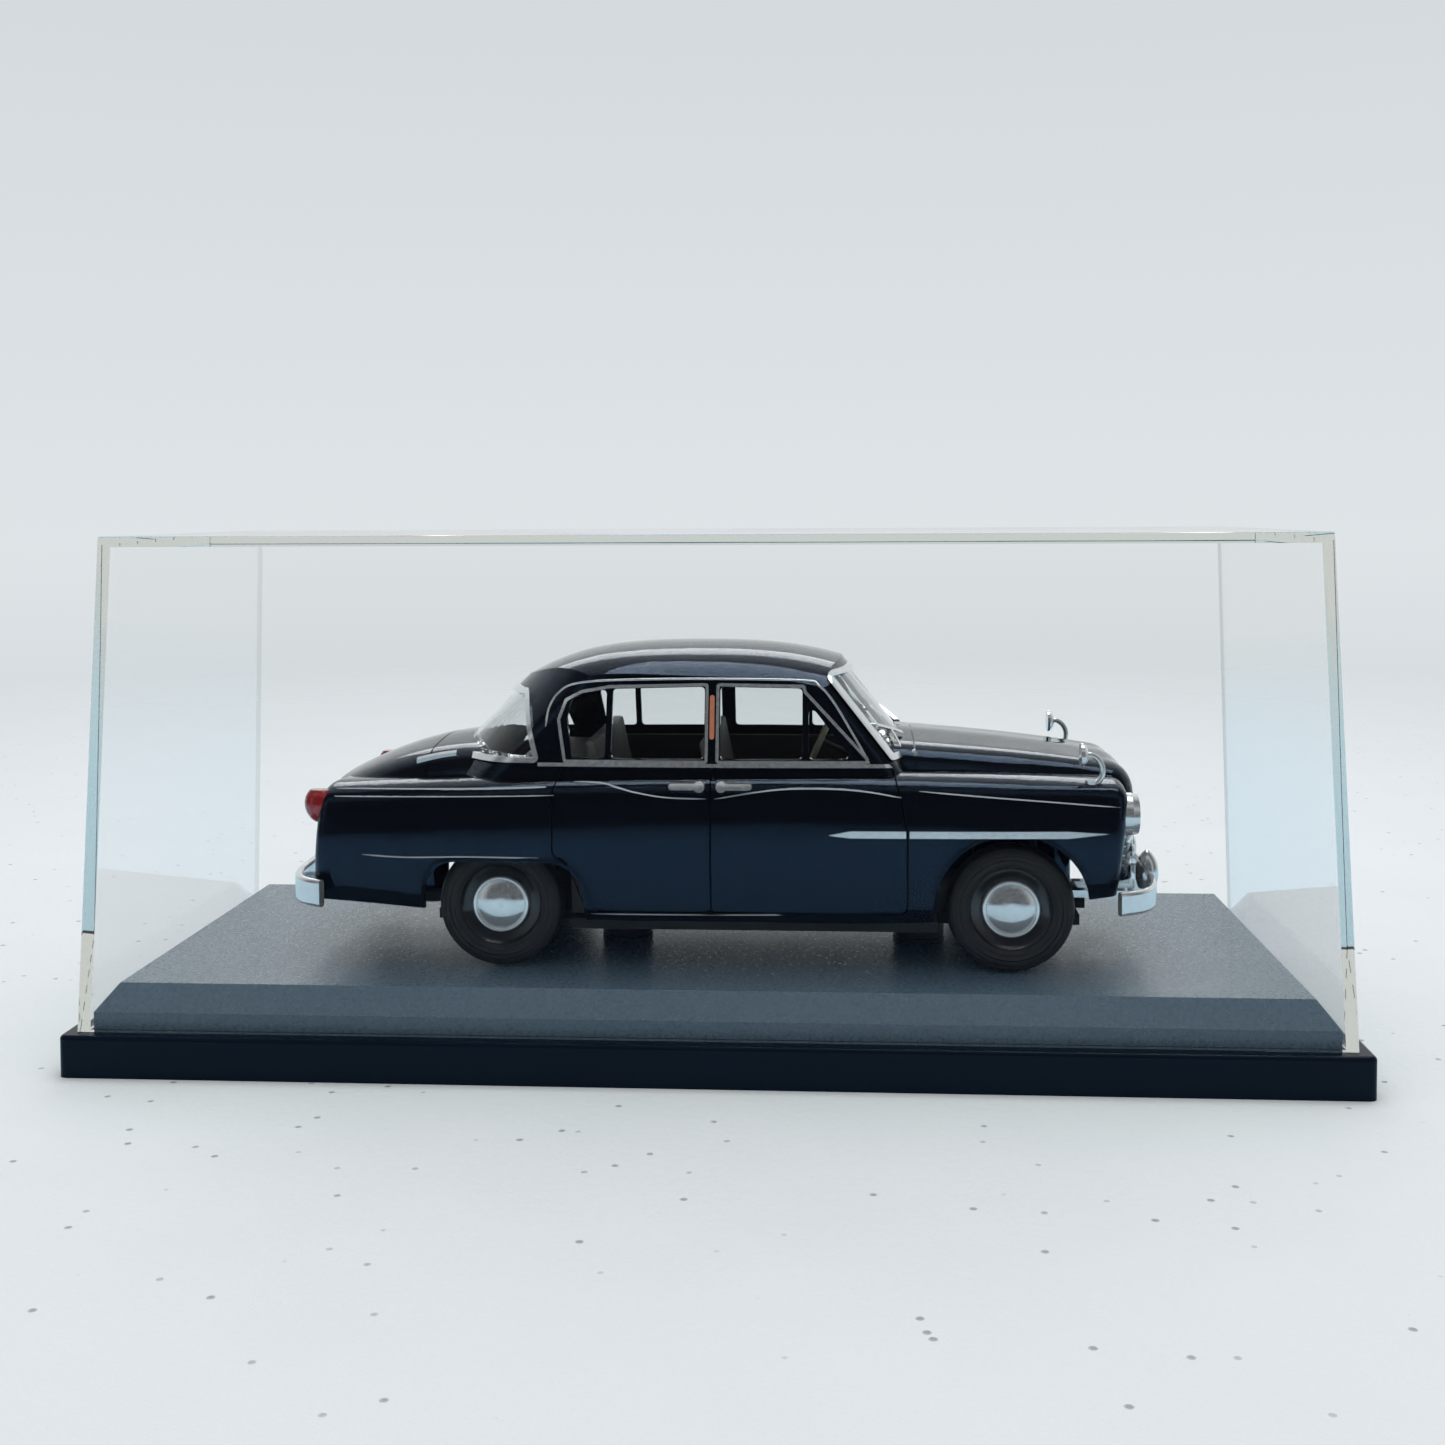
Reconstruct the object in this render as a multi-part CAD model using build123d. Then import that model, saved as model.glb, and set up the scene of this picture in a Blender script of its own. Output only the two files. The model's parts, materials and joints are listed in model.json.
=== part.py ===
"""Display stand: a 1:43 saloon car model screwed to a bevelled deck on a low plinth,
under a clear lift-off cover.

Millimetres.  Origin: centre of the plinth's bottom face.  +X is the car's nose,
+Y is the car's left side, +Z is up.
"""
from build123d import *
import math
import os

os.makedirs("parts", exist_ok=True)

# ---------------------------------------------------------------- driving dimensions
# Plinth: a low moulded tray, open underneath
plinth_length = 143.4
plinth_width = 61.4
plinth_height = 4.7
plinth_wall = 1.8
plinth_corner = 1.0
plinth_edge = 0.5
rib_thickness = 1.2
rib_lift = 0.6

# Clear cover: drafted box that stands on the plinth round the deck
cover_ledge = 1.6
cover_height = 55.3
cover_wall = 1.2
cover_draft = 2.6
cover_corner = 0.8
cover_inner_corner = 0.4
gate_diameter = 1.6
gate_depth = 0.12

# Deck: bevelled platform inside the cover
deck_fit = 0.3
deck_wall_height = 1.95
deck_bevel_width = 2.2
deck_bevel_height = 2.8
deck_thickness = 1.6

# Mounting posts and screws
post_diameter = 6.3
post_collar = 0.45
screw_diameter = 2.0
screw_clearance = 0.15
screw_head_diameter = 4.2
screw_head_height = 1.3
screw_recess = 1.2
screw_bite = 2.2
boss_wall = 1.5
rear_post_ahead = 12.8
front_post_behind = 9.8
post_groove_width = 0.25
post_groove_depth = 0.2

# Car: overall places, heights above the deck
wheelbase = 58.95
rear_axle_x = -24.4
tail_x = -46.9
nose_x = 47.9
half_width = 19.47
plan_taper = 1.3
wall = 1.0
end_wall = 2.6
sill_height = 5.9
widest_height = 16.1
shoulder_height = 22.7
shoulder_drop_rear = 1.9
shoulder_drop_front = 1.0
undercut_run = 8.0
rear_undercut = 2.0
front_undercut = 3.2
sill_tuck = 1.5
flank_tuck = 0.35
shoulder_start = 2.8
shoulder_ease = 0.3
shoulder_corner = 1.0
shoulder_turn = 0.9
shoulder_width = 2.6
shoulder_crown = 0.15
end_radius = 1.4
nose_lean = 1.6
tail_lean = 1.5
groove_width = 0.2
groove_depth = 0.25

# Bonnet and boot
cowl_x = 24.0
bonnet_height = 26.1
bonnet_half_width_rear = 14.4
bonnet_half_width_front = 11.8
bonnet_fall = 0.085
bonnet_curl = 6.5e-5
bonnet_overhang = 1.5
bonnet_nose_radius = 3.0
bonnet_edge = 1.6
bonnet_lap = 8.0
bonnet_seam_back = 0.2
boot_front_x = -31.4
boot_height = 25.6
boot_half_width_front = 15.0
boot_half_width_rear = 12.8
boot_fall = 0.12
boot_curl = 0.014
boot_shoulder = 4.2
boot_overhang = 0.4
boot_tail_radius = 2.4
boot_edge = 2.2
boot_lap = 12.0
boot_seam_back = 2.6
seam_reach = 8.0
panel_foot = 9.6

# Cabin
belt_height = 24.2
belt_half_width = 16.55
side_lean = 0.287
screen_lean = 0.8
screen_foot_x = 24.1
screen_bow = 3.4
rear_lean = 1.0
rear_foot_x = -32.3
rear_bow = 8.2
cabin_front_corner = 2.2
cabin_rear_corner = 5.0
roof_height = 37.0
roof_crown_x = -1.0
roof_front_fall = 1.75
roof_rear_fall = 5.4
roof_camber = 3.4
roof_front_run = 16.0
roof_front_curve = 2.4
roof_rear_run = 24.7
roof_rear_curve = 3.2
roof_block_rear_x = -34.0
roof_block_front_x = 26.0
roof_skirt = 12.0
roof_flare = 3.0
roof_span = 14.0
cabin_wall = 0.9
cabin_foot_drop = 2.4

# Windows
glass_inset = 0.3
glass_thickness = 0.5
glass_gap = 0.03
trim_width = 0.36
trim_height = 0.22
screen_trim_width = 0.6
window_top_height = 32.6
pane_bottom_height = 24.4
pane_corner = 0.5
pillar_width = 0.9
frame_width = 0.45
bar_width = 0.7
door_split_x = 0.3
quarter_bar_x = -11.8
vent_bar_x = 11.1
window_rear_x = -16.8
vent_foot_x = 16.6
screen_pillar_x = 21.3
screen_foot_rise = 0.7
screen_top_height = 33.7
rear_pillar_x = -20.6
rear_pillar_lean = 2.1
rear_foot_rise = 0.3
rear_top_height = 31.2

# Bright trim on the side
door_frame_corner = 0.45
belt_trim_height = 0.4
spear_centre_height = 16.4
spear_width = 0.8
spear_rear_x = 13.7
spear_front_x = 45.3
spear_rear_point = 2.5
spear_front_point = 4.5
spear_tip_offset = 0.1
handle_length = 4.1
handle_height = 0.7
handle_base_radius = 0.62
handle_rise = 0.6
handle_gap = 0.65
handle_centre_height = 21.7

# Chassis, bosses and grille
chassis_height = 4.6
chassis_thickness = 1.2
chassis_half_width = 16.6
body_boss_diameter = 4.0
body_screw_diameter = 1.6
body_screw_bite = 3.5
boss_rear_inset = 10.5
boss_front_inset = 6.5
door_foot_height = 7.0
door_corner = 0.9
door_head_gap = 0.4
door_front_x = 22.7
grille_half_width = 14.3
grille_height = 4.8
grille_centre_height = 13.5
grille_recess = 0.7

# Wheels
tyre_radius = 7.35
tyre_width = 3.8
tyre_gap = 0.06
tyre_outer_y = 17.3
rim_radius = 4.7
hubcap_radius = 3.3
hubcap_rise = 0.9
axle_diameter = 1.5
axle_clearance = 0.05
front_arch_radius = 8.9
rear_arch_front = 10.7
rear_arch_rear = 8.8
rear_arch_top = 12.8
rear_arch_corner = 4.0
rear_arch_slope = 1.2
arch_inner_y = 11.0
tyre_shoulder = 0.35
tyre_bulge = 0.12
bead_inset = 0.3
sidewall_start = 0.55
sidewall_groove_width = 0.12
sidewall_groove_depth = 0.3
sidewall_ribs = 3
sidewall_pitch = 0.55
hub_face = 1.0

# Chassis details
chassis_end_gap = 3.2
tongue_half_width = 3.6
bay_gap = 1.0
bay_inner_y = 12.2
block_length = 4.4
block_width = 2.0
block_rise = 1.8
exhaust_diameter = 0.9
exhaust_length = 60.0
exhaust_y = 6.0
silencer_length = 12.0
silencer_x = 2.0
body_screw_head = 0.6
exhaust_start = 2.0

# Interior
tub_gap = 0.3
boss_gap = 0.2
tub_wall = 0.8
tub_front_x = 19.5
tub_rear_x = -16.3
tub_half_width = 15.2
tub_card_drop = 1.0
shelf_length = 9.0
shelf_half_width = 12.0
bench_depth = 8.0
bench_height = 4.8
bench_width = 26.0
bench_back = 2.2
bench_rake = 0.18
bench_foot = 0.3
bench_taper = 0.4
bench_edge = 0.9
bench_back_edge = 0.5
front_seat_x = 1.6
rear_seat_x = -12.0
seat_back_height = 26.0
dash_depth = 1.6
dash_height = 3.2
dash_gap = 0.1
dash_edge = 0.5
pod_radius = 1.3
pod_depth = 0.8
steering_x = 12.6
steering_y = 7.2
steering_radius = 4.2
steering_rake = 65.0
steering_drop = 0.6
steering_rim = 0.22
steering_hub_radius = 0.6
steering_hub_height = 0.5
spoke_width = 0.3
spoke_height = 0.25
column_radius = 0.3
column_length = 4.2

# Bumpers, grille and lamps
bumper_inset = 0.2
bumper_thickness = 0.9
bumper_corner = 2.6
front_blade_height = 2.7
front_bumper_height = 8.7
front_bumper_ahead = 4.1
front_bumper_bow = 2.2
front_bumper_tip = 1.5
rear_blade_height = 3.2
rear_bumper_height = 9.0
rear_bumper_behind = 3.2
rear_bumper_bow = 2.0
rear_bumper_tip = 2.0
iron_reach = 5.5
iron_width = 1.6
iron_height = 0.9
iron_y = 2.6
overrider_height = 4.6
overrider_width = 2.7
overrider_y = 7.6
overrider_ahead = 3.5
overrider_drop = 0.6
grille_clearance = 0.15
grille_bars = 5
grille_centre_x = 50.2
grille_side_ahead = 0.5
bar_height = 0.45
bar_depth = 0.5
upright_width = 0.35
upright_sink = 0.25
uprights = 5
headlight_radius = 2.45
headlight_length = 1.7
headlight_lip = 0.45
headlight_set_back = 0.2
headlight_dome = 0.9
headlight_y = 15.0
headlight_height = 18.2
parking_radius = 0.95
parking_dome = 0.45
parking_ahead = 0.75
parking_y = 12.6
taillight_height = 18.9
taillight_depth = 1.9
taillight_width = 2.9
taillight_tall = 4.4
taillight_lean = 14.0
taillight_crop = 0.8
taillight_y = 16.2
mirror_x = 43.6
mirror_y = 15.9
mirror_rise = 3.4
mirror_bend = 1.2
mirror_back = 0.9
mirror_radius = 1.4
mirror_depth = 0.6
mirror_stalk = 0.65
mirror_sink = 0.3
mirror_rim = 0.3
mirror_foot_height = 0.5
mirror_foot_radius = 0.7
boot_hinge_length = 4.8
boot_hinge_width = 0.45
boot_hinge_rise = 0.25
boot_hinge_back = 1.6
boot_hinge_y = 11.5
wiper_length = 7.4
wiper_width = 0.35
wiper_rise = 0.45
wiper_angle = 14.0
wiper_y = 9.0
wiper_centre_height = 27.2
wiper_pivot_y = 11.6
wiper_pivot_radius = 0.45
wiper_pivot_tilt = 60.0
indicator_height = 5.0
indicator_width = 0.55
indicator_rise = 0.35
indicator_centre = 29.2

# ---------------------------------------------------------------- places worked out
deck_top = plinth_height + deck_wall_height + deck_bevel_height
front_axle_x = rear_axle_x + wheelbase
axle_z = deck_top + tyre_gap + tyre_radius
rear_post_x = rear_axle_x + rear_post_ahead
front_post_x = front_axle_x - front_post_behind
belt_z = deck_top + belt_height
body_mid_x = (tail_x + nose_x) / 2
body_length = nose_x - tail_x
chassis_top = deck_top + chassis_height + chassis_thickness
boss_rear_x = tail_x + boss_rear_inset
boss_front_x = nose_x - boss_front_inset
handle_z = deck_top + handle_centre_height
grille_z = deck_top + grille_centre_height
grille_back_x = nose_x - grille_recess
FAR = 60.0


def write(shape, node):
    """Write one sub-part as its own STEP file."""
    export_step(shape, f"parts/{node}.step")


def even(start, end, count):
    """Evenly spaced values from start to end."""
    return [start + (end - start) * i / (count - 1) for i in range(count)]


def section(x, half, smooth):
    """Closed cross-section at x from half a contour of (y, z), foot first, centre last."""
    right = [(x, -y, z) for y, z in half]
    left = [(x, y, z) for y, z in reversed(half[:-1])]
    skin = Spline(*right, *left) if smooth else Polyline(*right, *left)
    return make_face([skin, Line(left[-1], right[0])])


def skinned(faces, smooth):
    """Solid through cross-sections: smooth for an outer skin, faceted for a hidden core."""
    return loft(faces, ruled=not smooth)


def side_plate(points, depth_from, depth_to, radius=0.0):
    """Prism across the car: an (x, z) outline extruded from one y to another."""
    outline = make_face(Polyline(*[(x, z) for x, z in points], close=True))
    if radius:
        outline = fillet(outline.vertices(), radius)
    start = Plane(origin=(0, depth_from, 0), x_dir=(1, 0, 0), z_dir=(0, -1, 0))
    return extrude(start * outline, amount=depth_from - depth_to)


def turned(points):
    """Ring turned about the Y axis from an (r, y) outline."""
    return revolve(make_face(Polyline(*points, close=True)), Axis.Y)


# ---------------------------------------------------------------- stand
def plinth():
    """Low tray with a top skin, rim wall, ribs and two screw bosses."""
    block = extrude(RectangleRounded(plinth_length, plinth_width, plinth_corner), plinth_height)
    block = fillet(block.faces().sort_by(Axis.Z)[-1].edges(), plinth_edge)
    hollow_length = plinth_length - 2 * plinth_wall
    hollow_width = plinth_width - 2 * plinth_wall
    hollow = extrude(Rectangle(hollow_length, hollow_width), plinth_height - plinth_wall)
    body = block - hollow
    rib_height = plinth_height - plinth_wall
    for x in even(-hollow_length / 2, hollow_length / 2, 7)[1:-1]:
        body += Pos(x, 0, rib_lift) * extrude(Rectangle(rib_thickness, hollow_width), rib_height - rib_lift)
    for y in even(-hollow_width / 2, hollow_width / 2, 4)[1:-1]:
        body += Pos(0, y, rib_lift) * extrude(Rectangle(hollow_length, rib_thickness), rib_height - rib_lift)
    for x in (rear_post_x, front_post_x):
        boss_radius = screw_head_diameter / 2 + screw_clearance + boss_wall
        body += Pos(x, 0, 0) * extrude(Circle(boss_radius), rib_height)
        body -= Pos(x, 0, 0) * extrude(Circle(screw_diameter / 2 + screw_clearance), plinth_height)
        recess = Circle(screw_head_diameter / 2 + screw_clearance)
        body -= Pos(x, 0, 0) * extrude(recess, screw_recess + screw_head_height)
    return body


def drafted_box(length, width, height, draft, corner):
    """Box whose walls lean in by the draft at the top, all but its foot edges rounded."""
    foot = Rectangle(length, width)
    head = Rectangle(length - 2 * draft, width - 2 * draft)
    box = loft([foot, Pos(0, 0, height) * head])
    return fillet(box.edges().sort_by(Axis.Z)[4:], corner)


cover_length = plinth_length - 2 * cover_ledge
cover_width = plinth_width - 2 * cover_ledge
lean_in = math.tan(math.radians(cover_draft))


def cover():
    """Clear drafted box, open below, with the moulding gate's mark on its roof."""
    draft = cover_height * lean_in
    outer = drafted_box(cover_length, cover_width, cover_height, draft, cover_corner)
    inner_height = cover_height - cover_wall
    inner = drafted_box(
        cover_length - 2 * cover_wall,
        cover_width - 2 * cover_wall,
        inner_height,
        inner_height * lean_in,
        cover_inner_corner,
    )
    gate = Pos(0, 0, cover_height - gate_depth) * extrude(Circle(gate_diameter / 2), gate_depth)
    return Pos(0, 0, plinth_height) * (outer - inner - gate)


deck_length = cover_length - 2 * (cover_wall + deck_fit)
deck_width = cover_width - 2 * (cover_wall + deck_fit)


def deck():
    """Hollow platform: a plain wall below a wide bevel and a flat top."""
    wall_part = extrude(Rectangle(deck_length, deck_width), deck_wall_height)
    foot = Pos(0, 0, deck_wall_height) * Rectangle(deck_length, deck_width)
    head = Rectangle(deck_length - 2 * deck_bevel_width, deck_width - 2 * deck_bevel_width)
    bevel = loft([foot, Pos(0, 0, deck_wall_height + deck_bevel_height) * head])
    inner_length = deck_length - 2 * (deck_bevel_width + deck_thickness)
    inner_width = deck_width - 2 * (deck_bevel_width + deck_thickness)
    inner_height = deck_wall_height + deck_bevel_height - deck_thickness
    body = wall_part + bevel - extrude(Rectangle(inner_length, inner_width), inner_height)
    for x in (rear_post_x, front_post_x):
        body += Pos(x, 0, 0) * extrude(Circle(post_diameter / 2), inner_height)
        hole = Circle(screw_diameter / 2 + screw_clearance)
        body -= Pos(x, 0, 0) * extrude(hole, deck_wall_height + deck_bevel_height)
    return Pos(0, 0, plinth_height) * body


write(plinth(), "base_plinth")
write(deck(), "display_deck")
write(cover(), "clear_cover")

# ---------------------------------------------------------------- car body forms


def end_share(x):
    """0 at mid-body, 1 at either end."""
    return abs(x - body_mid_x) / (body_length / 2)


def shoulder_z(x):
    """Height of the wing tops, falling gently to each end."""
    peak_x = front_axle_x - 0.38 * wheelbase
    if x < peak_x:
        fall = shoulder_drop_rear * ((peak_x - x) / (peak_x - tail_x)) ** 2
    else:
        fall = shoulder_drop_front * ((x - peak_x) / (nose_x - peak_x)) ** 2
    return deck_top + shoulder_height - fall


def foot_z(x):
    """Lower edge of the body side, rising behind and ahead of the wheels."""
    rear_start = rear_axle_x + undercut_run
    front_start = front_axle_x - undercut_run
    rise_rear = max(0.0, (rear_start - x) / (rear_start - tail_x))
    rise_front = max(0.0, (x - front_start) / (nose_x - front_start))
    return deck_top + sill_height + rear_undercut * rise_rear + front_undercut * rise_front


def end_edges(form, forward):
    """Edges round the curved contour of a form's front or rear end."""
    end = form.faces().sort_by(Axis.X)[-1 if forward else 0]
    return end.edges().sort_by(Axis.Z)[1:]


def end_wedge(x, lean, forward):
    """Cutter that leans the body's end face: in at the foot for the nose, at the top for the tail."""
    low = deck_top + sill_height
    high = deck_top + shoulder_height
    if forward:
        edge = [(x - lean, low), (x, high), (x, high + 5), (x + 5, high + 5), (x + 5, low - 5)]
        edge += [(x - lean * 1.5, low - (high - low) / 2)]
    else:
        edge = [(x, low), (x + lean, high), (x + lean * 1.5, high + (high - low) / 2)]
        edge += [(x - 5, high + (high - low) / 2), (x - 5, low)]
    return side_plate(edge, FAR, -FAR)


def lower_body(inset=0.0, ends=0.0, drop=0.0):
    """Body side and wings from sill to shoulder, nose to tail."""
    smooth = inset <= 0
    faces = []
    for x in even(tail_x + ends, nose_x - ends, 8):
        w = half_width - plan_taper * end_share(x) ** 3 - inset
        foot = foot_z(x) - drop
        top = shoulder_z(x) - inset
        mid = deck_top + widest_height
        half = [
            (w - sill_tuck, foot),
            (w - flank_tuck, foot + 0.4 * (mid - foot)),
            (w, mid),
            (w - shoulder_ease, top - shoulder_start),
            (w - shoulder_corner, top - shoulder_turn),
            (w - shoulder_width, top - shoulder_crown / 3),
            (w / 2, top + shoulder_crown * 2 / 3),
            (0, top + shoulder_crown),
        ]
        faces.append(section(x, half, smooth))
    form = skinned(faces, smooth)
    form -= end_wedge(nose_x - ends, nose_lean, True)
    form -= end_wedge(tail_x + ends, tail_lean, False)
    if not inset:
        form = fillet(end_edges(form, True), end_radius)
        form = fillet(end_edges(form, False), end_radius)
    return form


def bonnet(inset=0.0, ends=0.0, drop=0.0):
    """Raised panel between the front wings, from the cowl to the nose."""
    start = cowl_x - bonnet_lap
    end = nose_x + bonnet_overhang - ends
    smooth = inset <= 0
    faces = []
    for x in even(start, end, 6):
        share = (x - start) / (nose_x - start)
        w = bonnet_half_width_rear + share * (bonnet_half_width_front - bonnet_half_width_rear)
        w -= inset
        ahead = x - cowl_x
        crown = deck_top + bonnet_height - bonnet_fall * ahead - bonnet_curl * ahead**3 - inset
        side = shoulder_z(x) - inset
        foot = deck_top + panel_foot - drop
        half = [
            (w - 0.5, foot),
            (w, (foot + side) / 2),
            (w - 0.1, side - 0.6),
            (w - bonnet_edge, side + 0.55 * (crown - side)),
            (w * 0.5, crown - 0.1 * (crown - side)),
            (0, crown),
        ]
        faces.append(section(x, half, smooth))
    form = skinned(faces, smooth)
    if not inset:
        form = fillet(end_edges(form, True), bonnet_nose_radius)
    return form


def boot(inset=0.0, ends=0.0, drop=0.0):
    """Raised panel between the rear wings, from the rear window to the tail."""
    start = tail_x - boot_overhang + ends
    end = boot_front_x + boot_lap
    smooth = inset <= 0
    faces = []
    for x in even(start, end, 6):
        share = (x - start) / (end - start)
        w = boot_half_width_rear + share * (boot_half_width_front - boot_half_width_rear) - inset
        behind = max(0.0, boot_front_x - x)
        crown = deck_top + boot_height - boot_fall * behind - boot_curl * behind**2 - inset
        foot = deck_top + panel_foot - drop
        half = [
            (w - 0.5, foot),
            (w, (foot + crown) / 2 - 1.0),
            (w - 0.3, crown - boot_shoulder),
            (w - boot_edge, crown - 0.4 * boot_shoulder),
            (w * 0.5, crown - 0.09 * boot_shoulder),
            (0, crown),
        ]
        faces.append(section(x, half, smooth))
    form = skinned(faces, smooth)
    if not inset:
        form = fillet(end_edges(form, False), boot_tail_radius)
    return form


def cabin_outline(z, inset):
    """Plan of the cabin at a height: bowed windscreen, long sides, wrapped rear."""
    above = z - belt_z
    w = belt_half_width - side_lean * above - inset
    front = screen_foot_x - screen_lean * above - inset * 1.3
    rear = rear_foot_x + rear_lean * above + inset * 1.4
    front_w = w - 0.5
    rear_w = w - 0.9
    windscreen = ThreePointArc((front - screen_bow, -front_w), (front, 0), (front - screen_bow, front_w))
    left = ThreePointArc((front - screen_bow, front_w), (0, w), (rear + rear_bow, rear_w))
    back = ThreePointArc((rear + rear_bow, rear_w), (rear, 0), (rear + rear_bow, -rear_w))
    right = ThreePointArc((rear + rear_bow, -rear_w), (0, -w), (front - screen_bow, -front_w))
    face = make_face([windscreen, left, back, right])
    corners = face.vertices().sort_by(Axis.X)
    face = fillet(corners[2:], cabin_front_corner)
    face = fillet(face.vertices().sort_by(Axis.X)[:2], cabin_rear_corner)
    return Pos(0, 0, z) * face


def roof_block(inset):
    """Everything below the cambered roof skin."""
    faces = []
    for x in even(roof_block_rear_x, roof_block_front_x, 9):
        if x < roof_crown_x:
            fall = roof_rear_fall * ((roof_crown_x - x) / roof_rear_run) ** roof_rear_curve
        else:
            fall = roof_front_fall * ((x - roof_crown_x) / roof_front_run) ** roof_front_curve
        crown = deck_top + roof_height - fall - inset
        span = roof_span
        half = [
            (span + roof_flare, belt_z - roof_skirt - fall),
            (span + 0.8 * roof_flare, crown - roof_camber * 2.0),
            (span, crown - roof_camber),
            (span * 0.82, crown - roof_camber * 0.47),
            (span * 0.45, crown - roof_camber * 0.1),
            (0, crown),
        ]
        faces.append(section(x, half, True))
    return loft(faces)


def cabin(inset=0.0, drop=0.0):
    """Closed cabin form: drafted walls cut off by the roof skin."""
    low = belt_z - cabin_foot_drop - drop
    high = deck_top + roof_height + 1.5
    walls = loft([cabin_outline(low, inset), cabin_outline(high, inset)])
    return walls & roof_block(inset)


# ---------------------------------------------------------------- openings in the body


def pane_outlines():
    """The four side panes as (x, z) outlines: quarter light, rear door, front door, vent."""
    low = deck_top + pane_bottom_height
    high = deck_top + window_top_height
    rear_edge = door_split_x - pillar_width / 2 - frame_width
    front_edge = door_split_x + pillar_width / 2 + frame_width
    quarter_end = quarter_bar_x - bar_width / 2
    rear_start = quarter_bar_x + bar_width / 2
    front_end = vent_bar_x - bar_width / 2
    vent_start = vent_bar_x + bar_width / 2
    vent_top = low + (vent_foot_x - vent_start) / screen_lean
    return {
        "quarter": [
            (window_rear_x + 0.7, low),
            (window_rear_x, low + 4.6),
            (window_rear_x + 0.5, high - 1.6),
            (window_rear_x + 2.2, high - 0.8),
            (quarter_end, high - 0.35),
            (quarter_end, low),
        ],
        "rear_door": [(rear_start, low), (rear_start, high - 0.3), (rear_edge, high), (rear_edge, low)],
        "front_door": [(front_edge, low), (front_edge, high), (front_end, high - 0.2), (front_end, low)],
        "vent": [(vent_start, low), (vent_start, vent_top), (vent_foot_x, low)],
    }


def side_panes(grow=0.0):
    """Cutters for the side panes, right across the car."""
    plates = []
    for outline in pane_outlines().values():
        face = make_face(Polyline(*outline, close=True))
        face = fillet(face.vertices(), pane_corner)
        if grow:
            face = offset(face, grow)
        plates.append(extrude(across * face, amount=2 * FAR))
    return plates


def screen_outline():
    """Windscreen opening seen from the side: everything ahead of the pillar's line."""
    low = belt_z + screen_foot_rise
    high = deck_top + screen_top_height
    lean = screen_lean * (high - low)
    return [(screen_pillar_x, low), (screen_pillar_x - lean, high), (FAR, high), (FAR, low)]


def rear_outline():
    """Rear window opening seen from the side: everything behind the rear pillar's line."""
    low = belt_z + rear_foot_rise
    high = deck_top + rear_top_height
    return [(rear_pillar_x, low), (rear_pillar_x - rear_pillar_lean, high), (-FAR, high), (-FAR, low)]


def across_cutter(outline, grow=0.0):
    """Prism right across the car from an (x, z) outline."""
    face = make_face(Polyline(*outline, close=True))
    if grow:
        face = offset(face, grow)
    return extrude(across * face, amount=2 * FAR)


across = Plane(origin=(0, FAR, 0), x_dir=(1, 0, 0), z_dir=(0, -1, 0))
lower_form = lower_body()
bonnet_form = bonnet()
boot_form = boot()
cabin_form = cabin()
cabin_hollow = cabin(inset=cabin_wall, drop=6.0)


def arch_cutters():
    """Wheel arches: round in front, flat-topped behind, through both sides."""
    depth = half_width - arch_inner_y
    cutters = []
    front = make_face(CenterArc((front_axle_x, axle_z), front_arch_radius, 0, 360))
    rear = make_face(
        Polyline(
            (rear_axle_x - rear_arch_rear, deck_top),
            (rear_axle_x - rear_arch_rear, deck_top + rear_arch_top),
            (rear_axle_x + rear_arch_front - rear_arch_slope, deck_top + rear_arch_top),
            (rear_axle_x + rear_arch_front, deck_top),
            close=True,
        )
    )
    rear = fillet(rear.vertices().sort_by(Axis.Y)[2:], rear_arch_corner)
    for face in (front, rear):
        for side in (1, -1):
            near = Plane(origin=(0, side * arch_inner_y, 0), x_dir=(1, 0, 0), z_dir=(0, -1, 0))
            cutters.append(extrude(near * face, amount=-side * (depth + 2)))
    return cutters


def door_outline(rear):
    """Shut line of a door as a closed (x, z) outline."""
    low = deck_top + door_foot_height
    high = belt_z - door_head_gap
    split = door_split_x
    if rear:
        arch_x = rear_axle_x + rear_arch_front
        return [
            (split, low),
            (split, high),
            (arch_x - 3.1, high),
            (arch_x - 4.2, high - 2.6),
            (arch_x - 4.2, deck_top + rear_arch_top + 1.0),
            (arch_x - 2.4, deck_top + rear_arch_top - 0.4),
            (arch_x - 0.6, low),
        ]
    return [
        (split, low),
        (split, high),
        (door_front_x - 1.7, high),
        (door_front_x - 0.6, high - 4.0),
        (door_front_x, high - 8.0),
        (door_front_x, low),
    ]


def door_lines():
    """Thin walls along the outlines of the doors, right across the car."""
    lines = []
    for rear in (True, False):
        face = make_face(Polyline(*door_outline(rear), close=True))
        face = fillet(face.vertices(), door_corner)
        ring = offset(face, groove_width / 2) - offset(face, -groove_width / 2)
        lines.append(extrude(across * ring, amount=2 * FAR))
    return lines


def seam(x, width):
    """Thin wall across the car for the edge of a bonnet or boot lid."""
    return Pos(x, 0, belt_z) * Box(groove_width, width, seam_reach)


def grille_slot(grow=0.0):
    """Wide rounded mouth across the nose."""
    slot = SlotOverall(2 * (grille_half_width + grow), grille_height + 2 * grow)
    mouth = Plane(origin=(grille_back_x, 0, grille_z), x_dir=(0, 1, 0), z_dir=(1, 0, 0))
    return extrude(mouth * slot, amount=10)


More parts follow.
